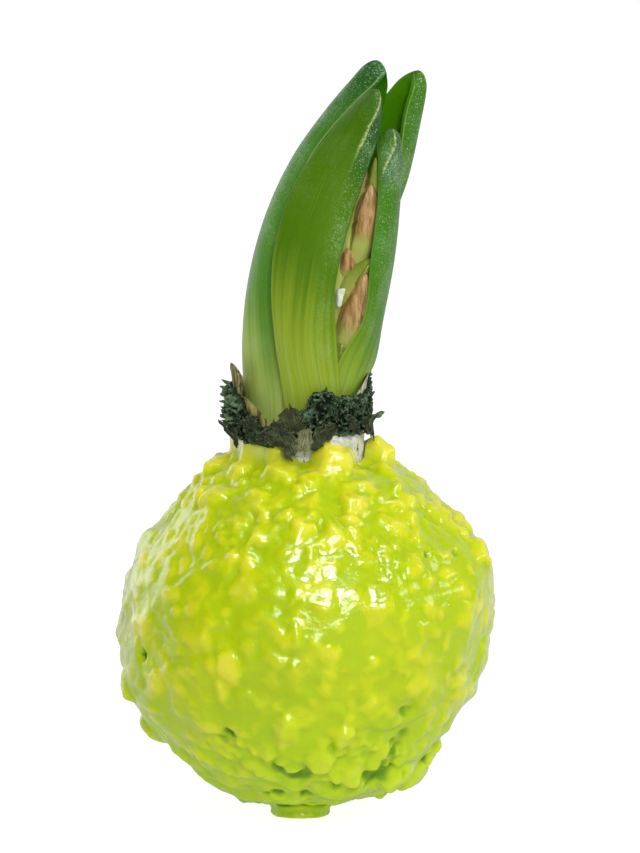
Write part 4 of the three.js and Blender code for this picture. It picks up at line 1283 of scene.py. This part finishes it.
for i in range(TUNIC_CRUMBS):
    degrees = random() * 360
    low, high, reach = tunic_at(degrees)
    share = random() * 1.04 - 0.02
    size = 0.12 + 0.25 * random() ** 2.2
    stand = 0.7 * random() ** 1.3 * (1 - 0.45 * (CALM_ANGLES[0] < degrees < CALM_ANGLES[1]))
    radius = TUNIC_INNER + 0.25 + (reach - TUNIC_INNER - 0.4) * belly_at(share) + stand
    centre = round_the_neck(degrees, radius, low + (high - low) * share)
    stretch = np.array((1, 0.5 + 0.6 * random(), 0.8 + 1.4 * random())) * size
    heading = (random() - 0.5, random() - 0.5, random() - 0.5)
    groups.append(rough_crumb(centre, stretch, heading))

# Shards stand up from the upper edge and stick out of the left side
for i in range(TUNIC_SHARDS):
    left = random() < 0.4
    degrees = SHARD_ANGLES[0] + (SHARD_ANGLES[1] - SHARD_ANGLES[0]) * random() if left else random() * 360
    low, high, reach = tunic_at(degrees)
    share = 0.25 + 0.75 * random() if left else 0.9 + 0.1 * random()
    radius = TUNIC_INNER + 0.3 + (reach - TUNIC_INNER) * belly_at(share) * (0.9 if left else 0.5)
    centre = round_the_neck(degrees, radius, low + (high - low) * share)
    outward = round_the_neck(degrees, 1, 0) - (NECK_OFFSET, 0, 0)
    rise = random() - 0.35 if left else 0.9
    heading = outward * (0.8 if left else 0.25) + (0.5 * (random() - 0.5), 0.5 * (random() - 0.5), rise)
    length = (0.6 if left else 0.35) + (0.9 if left else 0.5) * random()
    stretch = np.array((0.22 + 0.14 * random(), 0.2 + 0.3 * random(), length))
    groups.append(rough_crumb(centre + heading * length * 0.5, stretch, heading))
for angle, height, distance, size in TUNIC_LUMPS:
    centre = round_the_neck(angle, distance, height)
    groups.append(rough_crumb(centre, np.array((0.8, 0.6, 1.2)) * size, (1, -0.2, 0.3)))

# They are fused into one skin, which is then thinned to fewer faces and cleaned
tunic = joined_mesh("dead_skin", groups)
apply_modifier(tunic, "REMESH", mode="VOXEL", voxel_size=TUNIC_VOXEL * MM)
apply_modifier(tunic, "DECIMATE", ratio=TUNIC_KEPT)
tunic.data.validate()
places = places_of(tunic) / MM
across = places[:, :2] - (NECK_OFFSET, 0)
low, high, reach = tunic_at(np.degrees(np.arctan2(across[:, 1], across[:, 0])))
share = np.clip((places[:, 2] - low) / (high - low), 0, 1)
stand = np.linalg.norm(across, axis=1) - TUNIC_INNER - (reach - TUNIC_INNER) * belly_at(share)
named_values(tunic, stand=stand)
shade_smooth(tunic, 35)


def dead_skin_finish():
    """Rotted skin, blackish green, with painted shade that makes its crevices almost black and painted light
    that makes it greyer green where it stands up, and with tiny pale specks.
    """
    finish = new_finish("dead_skin_dark", 0.7, Specular_IOR_Level=0.22)
    place = object_place(finish)
    grain = noise_of(finish, place, 2200, 4, 0.7)
    # Painted shade and light: darker towards the crevices, paler where the skin stands up
    height = unsteady(finish, attribute_of(finish, "stand"), grain, 1.6)
    colour = tinted(finish, srgb(6, 12, 4), (44, 66, 38), height, -0.2, 0.5)
    colour = tinted(finish, colour, (104, 130, 96), height, 0.4, 1.1)
    colour = tinted(finish, colour, (9, 17, 6), noise_of(finish, place, 260, 3), 0.5, 0.62, 0, 0.6)
    colour = tinted(finish, colour, (150, 166, 142), noise_of(finish, place, 3400, 1), 0.65, 0.71, 0, 0.7)
    to_shader(finish, colour, "Base Color")
    bumped(finish, grain, 0.0004)
    return finish


dressed(tunic, dead_skin_finish(), "dead_skin", "neck_tunic")

# The torn flakes
# Thin flakes of papery skin that have come loose from the ring and lie along its lower edge. Each is bent
# from a grid with ragged sides, and all are given their thickness together.
FLAKE_COLUMNS = 14
FLAKE_ROWS = 20
FLAKE_THICKNESS = 0.2

# Smaller flakes lie round the rest of the ring, from this compass angle on and over so many degrees
LOOSE_FLAKES = 12
LOOSE_START = 300
LOOSE_SPREAD = 235

# Compass angle, height and distance of a flake's middle, its width and length, its turn and its lean outwards
# in degrees, and how bleached it is from 0 to 1
FLAKES = [
    (274, 72.6, 14.9, 3.0, 4.0, 170, 8, 0.85),
    (262, 71.8, 14.8, 2.6, 4.4, 205, 10, 0.35),
    (252, 72.6, 14.7, 2.2, 4.2, 245, 6, 0.3),
    (244, 73.2, 14.4, 1.7, 4.4, 300, 6, 0.15),
    (284, 72.6, 14.7, 2.3, 3.8, 150, 10, 0.3),
    (291, 73.6, 14.5, 2.2, 3.4, 120, 8, 0.1),
    (264, 76.6, 14.4, 3.6, 3.8, 12, -6, 0.3),
    (257, 74.4, 14.7, 2.6, 3.0, 60, 0, 0.25),
    (268, 74.8, 14.7, 2.2, 3.6, 100, 0, 0.0),
    (-22, 74.4, 14.3, 2.2, 3.0, -30, 25, 0.4),
    (300, 71.8, 14.4, 3.8, 1.9, -16, 14, 1.6),
    (200, 72.9, 14.3, 1.4, 4.6, 8, 38, 0.1),
    (214, 72.2, 14.4, 1.8, 3.2, 215, 10, 0.25),
]

pattern = new_grid("flake_pattern", FLAKE_COLUMNS, FLAKE_ROWS)
FLAKE_SHAPE, FLAKE_FACES = taken_apart(pattern)
random = seeded(TUNIC_SEED + 1)


def flake_at(angle, height, distance, width, length, turn, lean, bleached):
    """One flake as points, faces and named values. It lies against the ring and leans outwards from it.

    Each flake draws a number of its own, which sets its ragged outline."""
    across, up = FLAKE_SHAPE[:, 0], (FLAKE_SHAPE[:, 1] + 1) / 2
    own = np.full(len(up), random() * 90)
    from_end = np.abs(up - 0.5) * 2
    wide = width / 2 * (0.3 + 0.7 * np.minimum(1, 5 * np.minimum(up, 1 - up) + 0.1 + 0.5 * (own % 1)))
    ragged = noise_at(np.stack([np.sign(across), up * 4.4, own], 1), 1.3) * 0.75
    x = across * wide * (1 + ragged * np.abs(across))
    frayed = noise_at(np.stack([across * 2.8, np.sign(up - 0.5), own], 1), 1.0) * 0.9 * from_end
    y = (up - 0.5) * length * (1 + frayed)
    lift = 0.3 * noise_at(np.stack([across * 1.6, up * 3, own], 1), 1.0, 7) - 0.05 * x**2
    turn, lean = math.radians(turn), math.radians(lean)
    side = x * math.cos(turn) - y * math.sin(turn)
    rise = x * math.sin(turn) + y * math.cos(turn)
    upright = math.copysign(1, math.cos(turn))
    stand = distance + rise * math.sin(lean) * upright + lift * math.cos(lean)
    rise = rise * math.cos(lean) - lift * math.sin(lean)
    points = round_the_neck(angle + np.degrees(side / distance), stand, height + rise)
    return points, FLAKE_FACES, {"bleached": bleached, "across": across, "along": up}


groups = [flake_at(*flake) for flake in FLAKES]
for i in range(LOOSE_FLAKES):
    angle = LOOSE_START + LOOSE_SPREAD * (i + random()) / LOOSE_FLAKES
    low, high, reach = tunic_at(angle)
    height = low + 0.6 + 1.5 * random()
    size = 1.2 + 1.4 * random()
    groups.append(flake_at(angle, height, reach + 0.6, size, size * 1.5, 360 * random(), 8, 0.5 * random()))
flakes = joined_mesh("torn_flakes", groups)
apply_modifier(flakes, "SOLIDIFY", thickness=FLAKE_THICKNESS * MM, offset=0)
outwards(flakes)
shade_smooth(flakes, 40)


def flake_finish():
    """Papery flakes: dark olive to grey or, where not rotted, white, with fine veins along them."""
    finish = new_finish("torn_flake", 0.65, Specular_IOR_Level=0.2)
    bleached, across, along = (attribute_of(finish, v) for v in ("bleached", "across", "along"))
    sheet = node(finish, "CombineXYZ", {0: across, 1: along, 2: bleached}).outputs[0]
    veins = noise_of(finish, stretched(finish, sheet, (12, 2.2, 12)), 1.0, 5, 0.75)
    shade = unsteady(finish, bleached, noise_of(finish, object_place(finish), 900, 3), 0.8)
    light = tinted(finish, srgb(56, 60, 30), (146, 152, 108), veins, 0.38, 0.62)
    dark = tinted(finish, srgb(8, 12, 4), (66, 74, 44), veins, 0.38, 0.62)
    white = tinted(finish, srgb(186, 188, 168), (232, 234, 224), veins, 0.3, 0.6)
    colour = mixed(finish, ranged(finish, shade, 0.2, 0.8), dark, light)
    edge = math_of(finish, "ABSOLUTE", across)
    colour = tinted(finish, colour, (112, 116, 78), edge, 0.75, 1.0, 0, 0.45)
    colour = mixed(finish, ranged(finish, bleached, 1.1, 1.4), colour, white)
    to_shader(finish, colour, "Base Color")
    bumped(finish, veins, 0.0002)
    return finish


dressed(flakes, flake_finish(), "dead_skin")

# The floor, the lights and the camera
# A white sweep in a bright studio: one softbox beside the camera, one overhead and one at each side, with
# white all round.
FLOOR_WIDTH = 24
LIT_MIDDLE = Vector((0, 0, 50))
VIEW_MIDDLE = Vector((2.8, 0, 73.0))

# Softboxes: azimuth and elevation in degrees, distance, width and height in metres, and power in watts
SOFTBOXES = {
    "key_softbox": (12, 26, 1.1, 0.26, 0.18, 4.2),
    "top_softbox": (24, 62, 1.0, 0.30, 0.24, 2.9),
    "right_softbox": (80, 22, 1.2, 0.5, 0.4, 2.4),
    "left_softbox": (-132, 12, 1.4, 1.1, 1.1, 4.4),
}

# White panels round the set, for reflections alone: azimuth, elevation, half width in degrees and brightness
PANELS = [(11, 22, 12.5, 9.0), (-24, 64, 6, 2.5), (10, 66, 6, 3.0)]
PANEL_BLUR = 3

# The camera, and the height of what it shows: the photograph's 853 rows, of 0.1857 mm each at the bulb
CAMERA_ELEVATION = math.radians(8)
CAMERA_DISTANCE = 2.4
PHOTO_ROWS = 853
ROW_HEIGHT = 0.1857


def shown_as(finish, to_camera, to_mirrors, shed):
    """A strength for what the camera sees, for what reflections show and for what lights the object."""
    rays = node(finish, "LightPath").outputs
    lit = ranged(finish, rays["Is Glossy Ray"], 0, 1, shed, to_mirrors, False)
    return ranged(finish, rays["Is Camera Ray"], 0, 1, lit, to_camera, False)


def depth_of(finish, place):
    return node(finish, "SeparateXYZ", {0: place}).outputs[1]


def way_to(azimuth, elevation):
    """The way to a light. Azimuth 0 is on the camera's side and 90 is at the right."""
    a, e = math.radians(azimuth), math.radians(elevation)
    return Vector((math.sin(a) * math.cos(e), -math.cos(a) * math.cos(e), math.sin(e)))


nothing_selected()
bpy.ops.mesh.primitive_plane_add(size=FLOOR_WIDTH)
floor = bpy.context.object
floor.name = "studio_floor"
white = new_finish("floor_white", 0.9, Base_Color=(0.2, 0.2, 0.2, 1), Emission_Color=(1, 1, 1, 1))
behind = ranged(white, depth_of(white, object_place(white)), -0.03, 0.06, 0.1, 0.55)
to_shader(white, shown_as(white, 0.92, behind, 0.64), "Emission Strength")
floor.data.materials.append(white)

world = bpy.data.worlds.new("white_room")
world.use_nodes = True
bpy.context.scene.world = world
direction = node(world, "TexCoord").outputs["Generated"]
mirrored = ranged(world, depth_of(world, direction), 0.1, 0.85, 0.03, 0.6)
for azimuth, elevation, reach, strength in PANELS:
    inputs = {0: direction, 1: way_to(azimuth, elevation)}
    facing = node(world, "VectorMath", inputs, operation="DOT_PRODUCT").outputs["Value"]
    edge, full = (math.cos(math.radians(reach + blur)) for blur in (PANEL_BLUR, -PANEL_BLUR))
    mirrored = math_of(world, "ADD", mirrored, ranged(world, facing, edge, full, 0, strength))
background = world.node_tree.nodes["Background"]
background.inputs["Color"].default_value = (1, 1, 1, 1)
world.node_tree.links.new(shown_as(world, 1.0, mirrored, 0.4), background.inputs["Strength"])

for name, (azimuth, elevation, distance, width, height, power) in SOFTBOXES.items():
    nothing_selected()
    bpy.ops.object.light_add(type="AREA")
    light = bpy.context.object
    light.name = name
    light.data.shape = "RECTANGLE"
    light.data.size = width
    light.data.size_y = height
    light.data.energy = power
    away = way_to(azimuth, elevation)
    light.location = LIT_MIDDLE * MM + away * distance
    light.rotation_euler = away.to_track_quat("Z", "Y").to_euler()

nothing_selected()
bpy.ops.object.camera_add()
camera = bpy.context.object
camera.name = "photo_camera"
camera.data.lens = camera.data.sensor_width * CAMERA_DISTANCE / (PHOTO_ROWS * ROW_HEIGHT * MM)
camera.data.clip_end = 60
back = Vector((0, -math.cos(CAMERA_ELEVATION), math.sin(CAMERA_ELEVATION)))
camera.location = VIEW_MIDDLE * MM + back * CAMERA_DISTANCE
camera.rotation_euler = back.to_track_quat("Z", "Y").to_euler()
bpy.context.scene.camera = camera
bpy.context.scene.view_settings.view_transform = "Standard"
